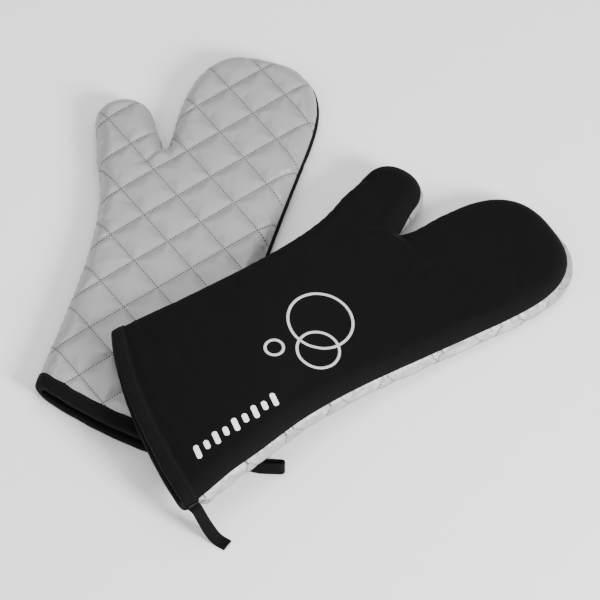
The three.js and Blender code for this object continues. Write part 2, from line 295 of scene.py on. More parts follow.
def thumb_sides():
    """The two long sides of the thumb, each from its root to the tip's middle."""
    tip_start = THUMB_LENGTH - THUMB_TIP
    round_tip = tip_start + THUMB_TIP * np.sin(np.linspace(0, math.pi / 2, 60))[1:]
    t = np.concatenate((np.linspace(0, tip_start, 120), round_tip))
    taper = smooth_step((t - THUMB_TAPER[0]) / (THUMB_TAPER[1] - THUMB_TAPER[0]))
    half = THUMB_HALF_WIDTH[0] + (THUMB_HALF_WIDTH[1] - THUMB_HALF_WIDTH[0]) * taper
    half = half * tip_width((t - THUMB_LENGTH + THUMB_TIP) / THUMB_TIP, THUMB_TIP_FULLNESS)
    along = heading(THUMB_ANGLE)
    middle = THUMB_ROOT + np.multiply.outer(t, along)
    aside = np.multiply.outer(half, turned_left(along))
    return middle - aside, middle + aside


def crossing(a, b):
    """The pair of indices where polylines a and b come closest."""
    gaps = np.linalg.norm(a[:, None] - b[None], axis=2)
    return np.unravel_index(np.argmin(gaps), gaps.shape)


def mitt_outline():
    """The outline from the cuff's outer corner round the fingers and the thumb to its thumb corner."""
    straight = np.linspace(0, TIP_START, 700)
    tip = TIP_START + (TIP_END - TIP_START) * np.sin(np.linspace(0, math.pi / 2, 200))[1:]
    u = np.concatenate((straight, tip))
    low, high = hand_sides(u)
    outer = np.stack((u, low), -1)
    inner = np.stack((u, high), -1)[::-1]
    near, far = thumb_sides()
    fingers = inner[inner[:, 0] > CROTCH[0] - 6 * MM]
    i, j = crossing(fingers, near)
    gauntlet = inner[inner[:, 0] < THUMB_SEAM_SIDE[0] + 45 * MM]
    past_root = far[far[:, 0] > THUMB_SEAM_SIDE[0]]
    k, m = crossing(past_root[::-1], gauntlet)
    back = past_root[::-1][:k + 1]
    line = np.concatenate((outer, fingers[:i], near[j:], back, gauntlet[m + 1:]))
    crotch = len(outer) + i
    flare = len(line) - len(gauntlet[m + 1:]) - 1
    line = fillet(line, flare, 42 * MM, 60 * MM)
    return fillet(line, crotch, 5 * MM, 5 * MM)


OUTLINE = resample(mitt_outline(), 0.5 * MM)
outline_tree = KDTree(len(OUTLINE))
for number, (u, v) in enumerate(OUTLINE):
    outline_tree.insert((u, v, 0), number)
outline_tree.balance()


def edge_distance(points):
    """How far each (u, v) point is from the side seam."""
    return np.array([outline_tree.find((u, v, 0))[2] for u, v in points])


# ---- The cloth pattern as a flat mesh ----

def inward_normals(line):
    return turned_left(unit(np.gradient(line, axis=0)))


def edge_depths(spacing, reach):
    """Depths from the side seam of the points that follow it: even steps round the mitt's edge."""
    step = spacing / EDGE_ROUND
    angles = np.arange(step, math.acos(1 - reach / EDGE_ROUND), step)
    return EDGE_ROUND * (1 - np.cos(angles))


def edge_stations(spacing):
    """Places along the outline, closer together round the crotch, where lines inward spread."""
    near_crotch = bump(np.linalg.norm(OUTLINE - CROTCH, axis=1), 12 * MM)
    steps = 0.5 * MM / (spacing * (1 - 0.72 * near_crotch))
    count = np.cumsum(steps) - steps[0]
    wanted = np.linspace(0, count[-1], int(round(count[-1])) + 1)
    return np.interp(wanted, count, np.arange(len(OUTLINE)))


def at_stations(values, stations):
    index = np.arange(len(values))
    return np.stack([np.interp(stations, index, values[:, k]) for k in range(values.shape[1])], -1)


def quilt_frame():
    """The two directions of the quilting and, for each, the normal along which its lines repeat."""
    directions = np.array([heading(angle) for angle, _ in QUILT_LINES])
    return directions, turned_left(directions)


def quilt_grid(spacing):
    """Pattern points of a square grid on the cloth, with the quilting on its lines."""
    _, normals = quilt_frame()
    reach = math.ceil(CLOTH_REACH / spacing)
    steps = np.arange(-reach, reach + 1) * spacing
    first, second = np.meshgrid(steps + QUILT_LINES[0][1], steps + QUILT_LINES[1][1], indexing="ij")
    return unslanted(np.linalg.solve(normals, np.stack((first.ravel(), second.ravel()))).T)


def pattern_mesh(spacing, ring_reach):
    """The (u, v) vertices and the faces of one mitt half: rings near the seam and a grid inside."""
    stations = edge_stations(spacing)
    edge = at_stations(OUTLINE, stations)
    inward = at_stations(inward_normals(OUTLINE), stations)
    depths = edge_depths(spacing, ring_reach)
    low, high = edge[0, 1], edge[-1, 1]
    across = np.arange(low + depths[-1] + spacing, high - depths[-1] - spacing / 2, spacing)
    cuff = np.concatenate((high - depths, across[::-1], (low + depths)[::-1]))
    rim = np.concatenate((edge, np.stack((np.zeros(len(cuff)), cuff), -1)))
    layers = [rim]
    for depth in depths:
        ring = edge + inward * depth
        clear = edge_distance(ring) > depth - 0.02 * MM
        layers.append(ring[clear & (ring[:, 0] > 0.6 * spacing)])
    grid = quilt_grid(spacing)
    grid = grid[((grid > OUTLINE.min(0)) & (grid < OUTLINE.max(0))).all(1)]
    grid = grid[inside_outline(grid)]
    grid = grid[(edge_distance(grid) > depths[-1] + 0.7 * spacing) & (grid[:, 0] > 0.7 * spacing)]
    points = [Vector(point) for point in np.concatenate(layers + [grid])]
    loop = [(i, (i + 1) % len(rim)) for i in range(len(rim))]
    filled = geometry.delaunay_2d_cdt(points, loop, [list(range(len(rim)))], 1, 1e-7)
    mesh = bmesh.new()
    for point in filled[0]:
        mesh.verts.new((point[0], point[1], 0))
    mesh.verts.ensure_lookup_table()
    for face in filled[2]:
        mesh.faces.new([mesh.verts[i] for i in face])
    bmesh.ops.join_triangles(mesh, faces=mesh.faces[:], angle_face_threshold=3.1, angle_shape_threshold=0.6)
    mesh.normal_update()
    if sum(face.normal.z for face in mesh.faces) < 0:
        bmesh.ops.reverse_faces(mesh, faces=mesh.faces[:])
    vertices = np.array([tuple(vertex.co.xy) for vertex in mesh.verts])
    faces = [[vertex.index for vertex in face.verts] for face in mesh.faces]
    mesh.free()
    return vertices, faces


def inside_outline(points):
    """True for each (u, v) point inside the outline, by counting the edges to its right."""
    a = OUTLINE
    b = np.roll(OUTLINE, -1, axis=0)
    inside = np.zeros(len(points), bool)
    for (ax, ay), (bx, by) in zip(a, b):
        if ay == by:
            continue
        spans = (ay > points[:, 1]) != (by > points[:, 1])
        x = ax + (points[:, 1] - ay) * (bx - ax) / (by - ay)
        inside ^= spans & (points[:, 0] < x)
    return inside


# ---- The cushion shape of a mitt ----

def rolled_length():
    """Depth from the seam, and how much longer the lower cloth is than that depth, for each mitt."""
    turn = np.linspace(0, math.pi / 2, 65)
    depth = EDGE_ROUND * (1 - np.cos(turn))
    longer = {}
    for hand in HANDS:
        out = SWELL[hand] * np.sin(2 * turn) - depth
        height = SEAM_HEIGHT[hand] * (1 - np.sin(turn))
        steps = np.hypot(np.diff(out), np.diff(height))
        reach = np.concatenate((np.cumsum(steps[::-1])[::-1], (0,)))
        longer[hand] = reach - (EDGE_ROUND - depth)
    return depth, longer


def cloth_place(hand, side, points, distance):
    """Where on its flat cloth a pattern point is: the lower cloth runs on round the mitt's edge."""
    place = slanted(points)
    if side > 0:
        return place
    depth, longer = rolled_length()
    return place + edge_outwards(points) * np.interp(distance, depth, longer[hand])[:, None]


def quilt_distance(points):
    """How far each place on the cloth is from the nearest line of quilting."""
    _, normals = quilt_frame()
    gaps = []
    for normal, (_, phase) in zip(normals, QUILT_LINES):
        along = (points @ normal - phase) / QUILT_PITCH
        gaps.append(np.abs(along - np.round(along)) * QUILT_PITCH)
    return np.minimum(*gaps)


def cushion(points, distance, hand, side, depth=0.0):
    """Heights of the smooth mitt at (u, v) points: side +1 is its upper face, -1 its lower one."""
    seam = SEAM_HEIGHT[hand]
    pinch = BINDING_ROOM * (1 - smooth_step((points[:, 0] - BINDING_WIDTH) / PINCH_FADE))
    face = THICKNESS - pinch if side > 0 else pinch
    roundness = EDGE_ROUND - depth
    inner = np.clip((distance - depth) / roundness, 0, 1)
    share = np.sqrt(np.clip(1 - (1 - inner) ** 2, 0, 1))
    return seam + (face - side * depth - seam) * share


def edge_outwards(points):
    """The direction out of the mitt at the outline's nearest point."""
    nearest = np.array([outline_tree.find((u, v, 0))[1] for u, v in points])
    return -inward_normals(OUTLINE)[nearest]


def swell(hand, points, distance):
    """Outward (u, v) moves of the lower cloth round the mitt's edge, least on the thumb's side."""
    outwards = edge_outwards(points)
    turn = np.arccos(1 - np.clip(distance / EDGE_ROUND, 0, 1))
    fade = smooth_step((points[:, 0] - 8 * MM) / (10 * MM))
    fade *= smooth_step(np.linalg.norm(points - CROTCH, axis=1) / (34 * MM))
    fade *= np.where(is_thumb(points), 0.6, 1.0) * (1 - 0.85 * smooth_step(outwards[:, 1]))
    return outwards * (SWELL[hand] * np.sin(2 * turn) * fade)[:, None]


# ---- Cloth simulation ----

SIM_SCALE = 10
SIM_FRAMES = 24


def new_mesh(name, vertices, faces):
    mesh = bpy.data.meshes.new(name)
    mesh.from_pydata([tuple(v) for v in vertices], [], [tuple(int(i) for i in f) for f in faces])
    mesh.update()
    piece = bpy.data.objects.new(name, mesh)
    bpy.context.scene.collection.objects.link(piece)
    return piece


def coordinates(mesh):
    values = np.empty(3 * len(mesh.vertices))
    mesh.vertices.foreach_get("co", values)
    return values.reshape(-1, 3)


def simulate(vertices, faces, hold, fullness, settings):
    """Lets a held cloth billow: hold is each point's hold, fullness where it has cloth to spare."""
    piece = new_mesh("cloth_at_work", vertices * SIM_SCALE, faces)
    for name, weights in (("hold", hold), ("tight", 1 - fullness)):
        group = piece.vertex_groups.new(name=name)
        for number, weight in enumerate(weights):
            group.add([number], float(weight), "REPLACE")
    modifier = piece.modifiers.new("cloth", "CLOTH")
    cloth = modifier.settings
    cloth.quality = 6
    cloth.mass = 0.3
    cloth.air_damping = 3
    cloth.tension_stiffness = 18
    cloth.compression_stiffness = 18
    cloth.shear_stiffness = 8
    cloth.bending_stiffness = settings["bending"]
    cloth.bending_damping = 1.0
    cloth.pin_stiffness = settings["pin"]
    cloth.vertex_group_mass = "hold"
    cloth.vertex_group_shrink = "tight"
    cloth.shrink_max = 0
    cloth.shrink_min = -settings["spare"]
    cloth.use_pressure = True
    cloth.uniform_pressure_force = settings["pressure"]
    cloth.effector_weights.gravity = 0
    modifier.collision_settings.use_collision = False
    modifier.collision_settings.use_self_collision = False
    modifier.point_cache.frame_start = 1
    modifier.point_cache.frame_end = SIM_FRAMES
    scene = bpy.context.scene
    for number in range(1, SIM_FRAMES + 1):
        scene.frame_set(number)
    result = piece.evaluated_get(bpy.context.evaluated_depsgraph_get())
    moved = coordinates(result.data) / SIM_SCALE
    scene.frame_set(1)
    bpy.data.objects.remove(piece)
    return moved


# ---- The mitt halves ----

FINE = QUILT_PITCH / 16
COARSE = 5 * MM
GROOVE = 2.1 * MM
GROOVE_WIDTH = 2.5 * MM
STITCH_PITCH = 2.9 * MM
STITCH_HALF = 0.27
QUILT_THREAD = {"sink": 0.35 * MM, "rise": 0.12 * MM, "radius": 0.28 * MM}
# Creases that run out of each crotch: direction in degrees, length and depth.
CREASES = {
    "left": ((159, 31 * MM, 2.8 * MM), (-109, 23 * MM, 2.4 * MM)),
    "right": ((160, 46 * MM, 2.6 * MM), (74, 20 * MM, 1.6 * MM), (-67, 27 * MM, 2.4 * MM)),
}
SILVER = {"bending": 0.02, "pin": 1.0, "spare": 0.030, "pressure": 0.4}
BLACK = {"bending": 0.4, "pin": 1.0, "spare": 0.012, "pressure": 0.02}
MOST_MOVE = {"silver": 2.6 * MM, "black": 1.8 * MM}


def ripple(points, seed, size):
    """Smooth noise over (u, v) from a few waves: about -1 to 1, with features of the given size."""
    draw = np.random.default_rng(seed)
    total = np.zeros(len(points))
    for _ in range(9):
        angle = draw.uniform(0, math.tau)
        wave = np.array((math.cos(angle), math.sin(angle))) * draw.uniform(0.6, 1.5) / size
        total += np.sin(math.tau * (points @ wave) + draw.uniform(0, math.tau))
    return total / 3


def crease_depth(points, hand):
    total = np.zeros(len(points))
    for angle, length, depth in CREASES[hand]:
        turn = math.radians(angle)
        away = points - CROTCH
        along = away @ np.array((math.cos(turn), math.sin(turn)))
        across = away @ np.array((-math.sin(turn), math.cos(turn))) + 6 * MM * (along / length) ** 2
        fade = smooth_step((1.1 * length - along) / (0.7 * length)) * smooth_step(along / (4 * MM) + 0.4)
        total += depth * bump(across, 2.4 * MM) * fade
    return total


def limited(move, most):
    """Shortens moves smoothly so that none passes the most allowed."""
    length = np.linalg.norm(move, axis=1)[:, None]
    return move * most * np.tanh(length / most) / np.maximum(length, TINY)


def half_at_rest(hand, half, flat, distance):
    """The held shape of a mitt half before its cloth billows, slanted, in the mitt's frame."""
    side = side_of(hand, half)
    inside = smooth_step(distance / (8 * MM)) * smooth_step((flat[:, 0] - 8 * MM) / (14 * MM))
    height = cushion(flat, distance, hand, side)
    height += side * 0.2 * MM * (distance < 0.05 * MM)
    dips = crease_depth(flat, hand) * smooth_step(distance / (5 * MM))
    if half == "palm":
        lines = quilt_distance(cloth_place(hand, side, flat, distance))
        dips = dips + GROOVE * bump(lines, GROOVE_WIDTH) * inside
    if side > 0:
        dips = dips - CROWN * smooth_step(distance / (45 * MM)) * inside
    place = flat + swell(hand, flat, distance) if side < 0 else flat
    return np.column_stack((slanted(place), height - side * dips))


def billow(hand, half, flat, faces, distance, shape):
    """The half's cloth after the simulation: quilted cloth is held along its stitches."""
    near_cuff = flat[:, 0] < BINDING_WIDTH + FINE
    held = np.where((distance < 0.1 * MM) | near_cuff, 1.0, 0.0)
    seed = 10 * HANDS.index(hand) + len(half)
    wander = 0.5 + 0.35 * ripple(flat, seed, 45 * MM)
    near_edge = bump(distance - NEAR_SEAM, NEAR_SEAM)
    if half == "palm":
        side = side_of(hand, half)
        lines = quilt_distance(cloth_place(hand, side, flat, distance))
        held = np.maximum(held, np.where(lines < 0.25 * FINE, 1.0, 0.0))
        spare = np.clip(0.25 + 0.5 * wander + 0.5 * near_edge, 0, 1)
        moved = simulate(shape, faces, held, spare, SILVER)
        return shape + limited(moved - shape, MOST_MOVE["silver"])
    near_crotch = bump(np.linalg.norm(flat - CROTCH, axis=1), 45 * MM)
    held = np.maximum(held, 0.12)
    spare = np.clip(0.2 * wander + 0.9 * near_crotch + 0.5 * near_edge, 0, 1)
    moved = simulate(shape, faces, held, spare, BLACK)
    return shape + limited(moved - shape, MOST_MOVE["black"])


def under_right(points):
    """The height of the right mitt's lower face over points of the floor, endless outside it."""
    local = from_table("right", points)
    flat = unslanted(local)
    inside = inside_outline(flat)
    distance = np.where(inside, edge_distance(flat), 0)
    floor = lift_of_right(local[:, 0], local[:, 1])
    return np.where(inside, floor + cushion(flat, distance, "right", -1), np.inf)


CONTACT_GAP = 0.5 * MM
FLOOR_GAP = 0.3 * MM


def rest_on_things(hand, half, laid):
    """Flattens cloth where it meets the floor, and the left mitt where the right one lies on it."""
    laid = laid.copy()
    if half == LOWER[hand]:
        floor = FLOOR_GAP
        if hand == "right":
            local = from_table("right", laid[:, :2])
            floor = np.maximum(floor, lift_of_right(local[:, 0], local[:, 1]))
        laid[:, 2] = np.maximum(laid[:, 2], floor)
    elif hand == "left":
        laid[:, 2] = np.minimum(laid[:, 2], under_right(laid[:, :2]) - CONTACT_GAP)
    return laid


def subdivided(vertices, faces):
    piece = new_mesh("to_subdivide", vertices, faces)
    modifier = piece.modifiers.new("finer", "SUBSURF")
    modifier.levels = 1
    mesh = piece.evaluated_get(bpy.context.evaluated_depsgraph_get()).data
    finer = coordinates(mesh)
    corners = np.empty(len(mesh.loops), int)
    mesh.loops.foreach_get("vertex_index", corners)
    bpy.data.objects.remove(piece)
    return finer, corners.reshape(-1, 4)


def vertex_normals(vertices, quads):
    a, b, c, d = (vertices[quads[:, corner]] for corner in range(4))
    cross = np.cross(c - a, d - b)
    normals = np.zeros_like(vertices)
    for corner in range(4):
        np.add.at(normals, quads[:, corner], cross)
    return unit(normals)


class Half:
    """One cloth half of a mitt: its flat pattern, its laid shape and that shape's outward normals."""

    def __init__(self, hand, half):
        self.hand, self.half = hand, half
        self.side = side_of(hand, half)
        shape = half_at_rest(hand, half, PATTERN, PATTERN_EDGE)
        shape = billow(hand, half, PATTERN, PATTERN_FACES, PATTERN_EDGE, shape)
        laid = rest_on_things(hand, half, lay(hand, shape))
        self.outer, self.quads = subdivided(laid, PATTERN_FACES)
        self.flat = FINE_FLAT
        self.normals = self.side * vertex_normals(self.outer, self.quads)
        self.tree = None

    def on_cloth(self, points):
        """Places and outward normals on the cloth at (u, v) points of its pattern."""
        if self.tree is None:
            flat = [(u, v, 0) for u, v in self.flat]
            self.triangles = np.concatenate((self.quads[:, (0, 1, 2)], self.quads[:, (0, 2, 3)]))
            self.tree = BVHTree.FromPolygons(flat, self.triangles.tolist(), all_triangles=True)
        places, normals = [], []
        for u, v in points:
            found = self.tree.find_nearest((u, v, 0))
            corners = self.triangles[found[2]]
            a, b, c = self.flat[corners]
            share_b, share_c = np.linalg.solve(np.stack((b - a, c - a), 1), np.array(found[0][:2]) - a)
            shares = np.array((1 - share_b - share_c, share_b, share_c))
            places.append(shares @ self.outer[corners])
            normals.append(shares @ self.normals[corners])
        return np.array(places), unit(np.array(normals))


def smooth_layer(hand, side, flat, distance, depth):
    """The smooth cushion at a depth below its outer face, laid on the floor."""
    height = cushion(flat, distance, hand, side, depth)
    return lay(hand, np.column_stack((slanted(flat), height)))


# ---- Making pieces ----

def finish_piece(piece, material):
    piece.data.materials.append(material)
    piece.data.polygons.foreach_set("use_smooth", np.ones(len(piece.data.polygons), bool))
    return piece


def add_pattern(piece, flat, distance=FAR):
    """Keeps the cloth's own (u, v), and how near each point is to the side seam, on the mesh."""
    corners = np.empty(len(piece.data.loops), int)
    piece.data.loops.foreach_get("vertex_index", corners)
    layer = piece.data.uv_layers.new(name="pattern")
    layer.data.foreach_set("uv", flat[corners].ravel())
    near = piece.data.attributes.new("near_seam", "FLOAT", "POINT")
    near.data.foreach_set("value", bump(np.broadcast_to(distance, len(flat)), NEAR_SEAM))


def closed_sheet(name, quads, outer, inner, outer_normals, flat, distance, side):
    """A closed piece between two matching faces, walled round its border, smooth across its cuts."""
    used = np.unique(quads)
    count = len(used)
    renumber = np.full(len(outer), -1)
    renumber[used] = np.arange(count)
    faces = renumber[quads]
    top = faces if side > 0 else faces[:, ::-1]
    edges = np.concatenate([np.stack((top[:, k], top[:, (k + 1) % 4]), -1) for k in range(4)])
    keys = edges[:, 0] * count + edges[:, 1]
    lone = edges[~np.isin(keys, edges[:, 1] * count + edges[:, 0])]
    walls = np.stack((lone[:, 1], lone[:, 0], lone[:, 0] + count, lone[:, 1] + count), -1)
    everything = np.concatenate((top, top[:, ::-1] + count, walls))
    piece = new_mesh(name, np.concatenate((outer[used], inner[used])), everything)
    add_pattern(piece, np.concatenate((flat[used], flat[used])), np.concatenate((distance[used],) * 2))
    piece.data.polygons.foreach_set("use_smooth", np.ones(len(everything), bool))
    corner, beside, across, _ = (coordinates(piece.data)[walls[:, k]] for k in range(4))
    wall_normals = unit(np.cross(beside - corner, across - corner))
    loops = np.concatenate((outer_normals[used][top].reshape(-1, 3),
                            -outer_normals[used][top[:, ::-1]].reshape(-1, 3),
                            np.repeat(wall_normals, 4, axis=0)))
    piece.data.normals_split_custom_set(loops.tolist())
    return piece


ROOT_LINE = (THUMB_SEAM_SIDE - CROTCH) / np.linalg.norm(THUMB_SEAM_SIDE - CROTCH)
ROOT_OUTWARD = np.array((ROOT_LINE[1], -ROOT_LINE[0]))


def is_thumb(points):
    """True where (u, v) lies past the thumb's root line and above the finger pouch."""
    away = points - CROTCH
    return (away @ ROOT_OUTWARD > 0) & (away[:, 1] > 0.2 * away[:, 0])


def follow(piece, hand, zone):
    """Bakes a piece of the hand zone or of the thumb zone into its mesh where it lies; the ends of the
    finger or thumb bend are worked out, but nothing bends the piece.
    """
    if zone == "thumb":
        start = (CROTCH + THUMB_SEAM_SIDE) / 2
        moving, places = "thumb", (start, start + ROOT_OUTWARD * THUMB_BEND)
    else:
        moving, places = "fingers", [(u, 0.0) for u in FINGER_BEND]
    start, end = (tuple(lay(hand, (*place, THICKNESS / 2))) for place in places)
    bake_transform(piece)


ZONES = {"hand": ("hand", "finger"), "thumb": ("thumb",)}


def by_zone(points):
    """Each zone's name, and which of the (u, v) points belong to it."""
    thumb = is_thumb(points)
    return ("hand", ~thumb), ("thumb", thumb)


def tube_mesh(name, paths, radius, sides=6):
    """Many short tapered tubes as one piece: each path is a row of points."""
    rings = paths.shape[1]
    tangent = unit(paths[:, -1] - paths[:, 0])
    helper = np.where(np.abs(tangent[:, 2:]) < 0.9, (0.0, 0.0, 1.0), (1.0, 0.0, 0.0))
    first = unit(np.cross(tangent, helper))
    second = np.cross(tangent, first)
    angles = np.arange(sides) * math.tau / sides
    circle = np.multiply.outer(np.cos(angles), first) + np.multiply.outer(np.sin(angles), second)
    circle = circle.transpose(1, 0, 2)[:, None]
    share = np.sin(np.linspace(0.12, 0.88, rings) * math.pi) ** 0.5
    points = paths[:, :, None] + circle * (radius * share)[None, :, None, None]
    body = points.reshape(len(paths), rings * sides, 3)
    k = np.arange(sides)
    around = (k + 1) % sides
    walls = [np.stack((r * sides + k, r * sides + around, (r + 1) * sides + around, (r + 1) * sides + k), -1)
             for r in range(rings - 1)]
    one = np.concatenate(walls)
    many = (one[None] + (np.arange(len(paths)) * rings * sides)[:, None, None]).reshape(-1, 4)
    caps = []
    for number in range(len(paths)):
        base = number * rings * sides
        caps.append([base + i for i in range(sides)][::-1])
        caps.append([base + (rings - 1) * sides + i for i in range(sides)])
    return new_mesh(name, body.reshape(-1, 3), many.tolist() + caps)


def thread(name, places, normals, sink, rise, radius):
    """Stitches as one piece: places are rows of points on cloth, and each row's ends dive into it."""
    t = np.linspace(0, 1, places.shape[1])
    height = (rise + sink) * np.sin(t * math.pi) ** 0.6 - sink
    return tube_mesh(name, places + normals * height[None, :, None], radius)


def between(starts, ends, steps=5):
    """Rows of points on the straight lines from starts to ends."""
    t = np.linspace(0, 1, steps)[None, :, None]
    return starts[:, None] * (1 - t) + ends[:, None] * t


# ---- Materials ----

TWILL_TURN = math.radians(58)


class Shader:
    """A node material being built: short calls that add a node and return its output."""

    def __init__(self, name, **sockets):
        self.material = bpy.data.materials.new(name)
        self.material.use_nodes = True
        self.nodes = self.material.node_tree.nodes
        self.links = self.material.node_tree.links
        self.surface = self.nodes["Principled BSDF"]
        for socket, value in sockets.items():
            self.surface.inputs[socket.replace("_", " ")].default_value = value

    def put(self, value, socket):
        if isinstance(value, bpy.types.NodeSocket):
            self.links.new(value, socket)
        else:
            socket.default_value = value

    def node(self, kind, output, settings=(), **inputs):
        node = self.nodes.new(kind)
        for name, value in dict(settings).items():
            setattr(node, name, value)
        for name, value in inputs.items():
            self.put(value, node.inputs[name.replace("_", " ")])
        return node.outputs[output]

    def math(self, operation, a, b=0.0):
        node = self.nodes.new("ShaderNodeMath")
        node.operation = operation
        self.put(a, node.inputs[0])
        self.put(b, node.inputs[1])
        return node.outputs[0]

    def pattern(self, turn=0.0, scale=1.0):
        """The cloth's own (u, v), turned and scaled."""
        uv = self.node("ShaderNodeUVMap", "UV", {"uv_map": "pattern"})
        return self.node("ShaderNodeMapping", "Vector", Vector=uv,
                         Rotation=(0, 0, turn), Scale=(scale, scale, scale))

    def noise(self, vector, scale, detail=2.0, roughness=0.5, distortion=0.0):
        return self.node("ShaderNodeTexNoise", "Fac", Vector=vector, Scale=scale, Detail=detail,
                         Roughness=roughness, Distortion=distortion)

    def spread(self, value, low, high, source=(0.0, 1.0)):
        return self.node("ShaderNodeMapRange", "Result", Value=value, To_Min=low, To_Max=high,
                         From_Min=source[0], From_Max=source[1])

    def mottled(self, vector, coarse, low, high, fine, swing):
        """A tone near 1: coarse patches from low to high, and fine grain that swings about them."""
        patches = self.spread(self.noise(vector, *coarse), low, high)
        return self.math("ADD", patches, self.spread(self.noise(vector, *fine), -swing, swing))

    def near_seam(self, away, at_seam):
        near = self.node("ShaderNodeAttribute", "Fac", {"attribute_name": "near_seam"})
        return self.spread(near, away, at_seam)

    def ribs(self, vector, scale, distortion, **more):
        return self.node("ShaderNodeTexWave", "Fac", {"wave_type": "BANDS"}, Vector=vector, Scale=scale,
                         Distortion=distortion, Detail=1.0, **more)

    def tinted(self, colour, factor):
        """A colour made lighter and darker by a factor."""
        node = self.nodes.new("ShaderNodeMix")
        node.data_type = "RGBA"
        node.blend_type = "MULTIPLY"
        node.inputs[0].default_value = 1.0
        self.put(colour, node.inputs[6])
        grey = self.node("ShaderNodeCombineColor", "Color", Red=factor, Green=factor, Blue=factor)
        self.put(grey, node.inputs[7])
        return node.outputs[2]

    def raised(self, height, distance, strength=1.0, below=None):
        node = self.nodes.new("ShaderNodeBump")
        node.inputs["Strength"].default_value = strength
        node.inputs["Distance"].default_value = distance
        self.put(height, node.inputs["Height"])
        if below is not None:
            self.links.new(below, node.inputs["Normal"])
        return node.outputs[0]

    def along(self, vector, direction):
        """How far a vector reaches in a direction."""
        node = self.nodes.new("ShaderNodeVectorMath")
        node.operation = "DOT_PRODUCT"
        self.put(vector, node.inputs[0])
        self.put(direction, node.inputs[1])
        return node.outputs["Value"]

    def to_nearest(self, value, pitch):
        """The distance of a value from the nearest whole multiple of a pitch."""
        turns = self.math("DIVIDE", value, pitch)
        part = self.math("ABSOLUTE", self.math("SUBTRACT", turns, self.math("ROUND", turns)))
        return self.math("MULTIPLY", part, pitch)

    def weave(self, vector, pitch):
        """Threads over and under each other: two crossed rows of ribs."""
        x = self.node("ShaderNodeSeparateXYZ", "X", Vector=vector)
        y = self.node("ShaderNodeSeparateXYZ", "Y", Vector=vector)
        across = self.math("SINE", self.math("MULTIPLY", x, math.tau / pitch))
        along = self.math("SINE", self.math("MULTIPLY", y, math.tau / pitch))
        return self.math("MULTIPLY", across, along)

    def done(self, colour, roughness, normal):
        self.put(colour, self.surface.inputs["Base Color"])
        self.put(roughness, self.surface.inputs["Roughness"])
        self.links.new(normal, self.surface.inputs["Normal"])
        return self.material


def rgb(red, green, blue):
    return (red, green, blue, 1.0)


def silver_cloth():
    """Cotton with a satin aluminium coating: fine weave, faint mottling, dull at the seam, rougher at the
    stitches, with painted shade in the grooves beside the quilting and in its needle holes.
    """
    make = Shader("silver_cloth", Metallic=0.4, Specular_IOR_Level=0.5)
    plain = make.pattern()
    tone = make.mottled(plain, (38.0, 3.0, 0.6), 0.93, 1.05, (900.0, 2.0, 0.7), 0.05)
    lines, needle_hole_shade = quilt_marks(make)
    # Painted shade: up to 10% darker in the grooves beside the quilting lines.
    tone = make.math("MULTIPLY", tone, make.spread(lines, 1.0, 0.9))
    # Painted shade: the needle holes along the quilting, nearly black.
    tone = make.math("MULTIPLY", tone, make.spread(needle_hole_shade, 1.0, 0.05))
    tone = make.math("MULTIPLY", tone, make.near_seam(1.0, 0.93))
    colour = make.tinted(rgb(0.325, 0.327, 0.332), tone)
    satin = make.spread(make.noise(plain, 120.0, 3.0), 0.34, 0.48)
    rough = make.math("ADD", satin, make.spread(lines, 0.0, 0.12))
    crinkle = make.raised(make.noise(plain, 210.0, 4.0, 0.62, 0.6), 0.0006, 0.42)
    threads = make.raised(make.weave(plain, 0.75 * MM), 0.00007, 0.5, crinkle)
    return make.done(colour, rough, threads)


def quilt_marks(make):
    """Two masks along the quilting: painted shade in the grooves beside the lines, where the cloth is also
    made rougher, and painted shade in the needle holes on them.
    """
    groove_shade_mask, needle_hole_shade = None, None
    uv = make.pattern()
    for angle, phase in QUILT_LINES:
        across = make.along(uv, (*turned_left(heading(angle)), 0))
        along = make.along(uv, (*heading(angle), 0))
        gap = make.to_nearest(make.math("SUBTRACT", across, phase), QUILT_PITCH)
        step = make.to_nearest(along, STITCH_PITCH)
        squares = (make.math("MULTIPLY", length, length) for length in (gap, step))
        reach = make.math("SQRT", make.math("ADD", *squares))
        # Painted shade mask: full on a quilting line, gone 2.1 mm from it.
        beside = make.spread(gap, 1.0, 0.0, (0.0, 2.1 * MM))
        # Painted shade mask: the needle holes on the line.
        hole = make.spread(reach, 1.0, 0.0, (0.55 * MM, 0.85 * MM))
        groove_shade_mask = beside if groove_shade_mask is None else make.math("MAXIMUM", groove_shade_mask, beside)
        needle_hole_shade = hole if needle_hole_shade is None else make.math("MAXIMUM", needle_hole_shade, hole)
    return groove_shade_mask, needle_hole_shade


def black_cloth():
    """Plain black cotton twill: fine slanted ribs, faint lint and slightly rubbed at the seam."""
    make = Shader("black_cloth", Specular_IOR_Level=0.06, Sheen_Weight=0.015, Sheen_Roughness=0.4)
    plain = make.pattern()
    lint = make.spread(make.noise(plain, 420.0, 1.0), 0.0, 0.5, (0.74, 0.86))
    tone = make.mottled(plain, (24.0, 4.0, 0.6), 0.86, 1.14, (750.0, 2.0, 0.8), 0.16)
    tone = make.math("ADD", make.math("ADD", tone, lint), make.near_seam(0.0, 0.25))
    colour = make.tinted(rgb(0.0037, 0.0037, 0.0040), tone)
    ribs = make.ribs(make.pattern(turn=TWILL_TURN), 380.0, 1.2, Detail_Scale=2.0)
    soft = make.raised(make.noise(plain, 160.0, 3.0), 0.0004, 0.3)
    twill = make.raised(ribs, 0.00008, 0.6, soft)
    rough = make.spread(make.noise(plain, 300.0), 0.84, 0.96)
    return make.done(colour, rough, twill)


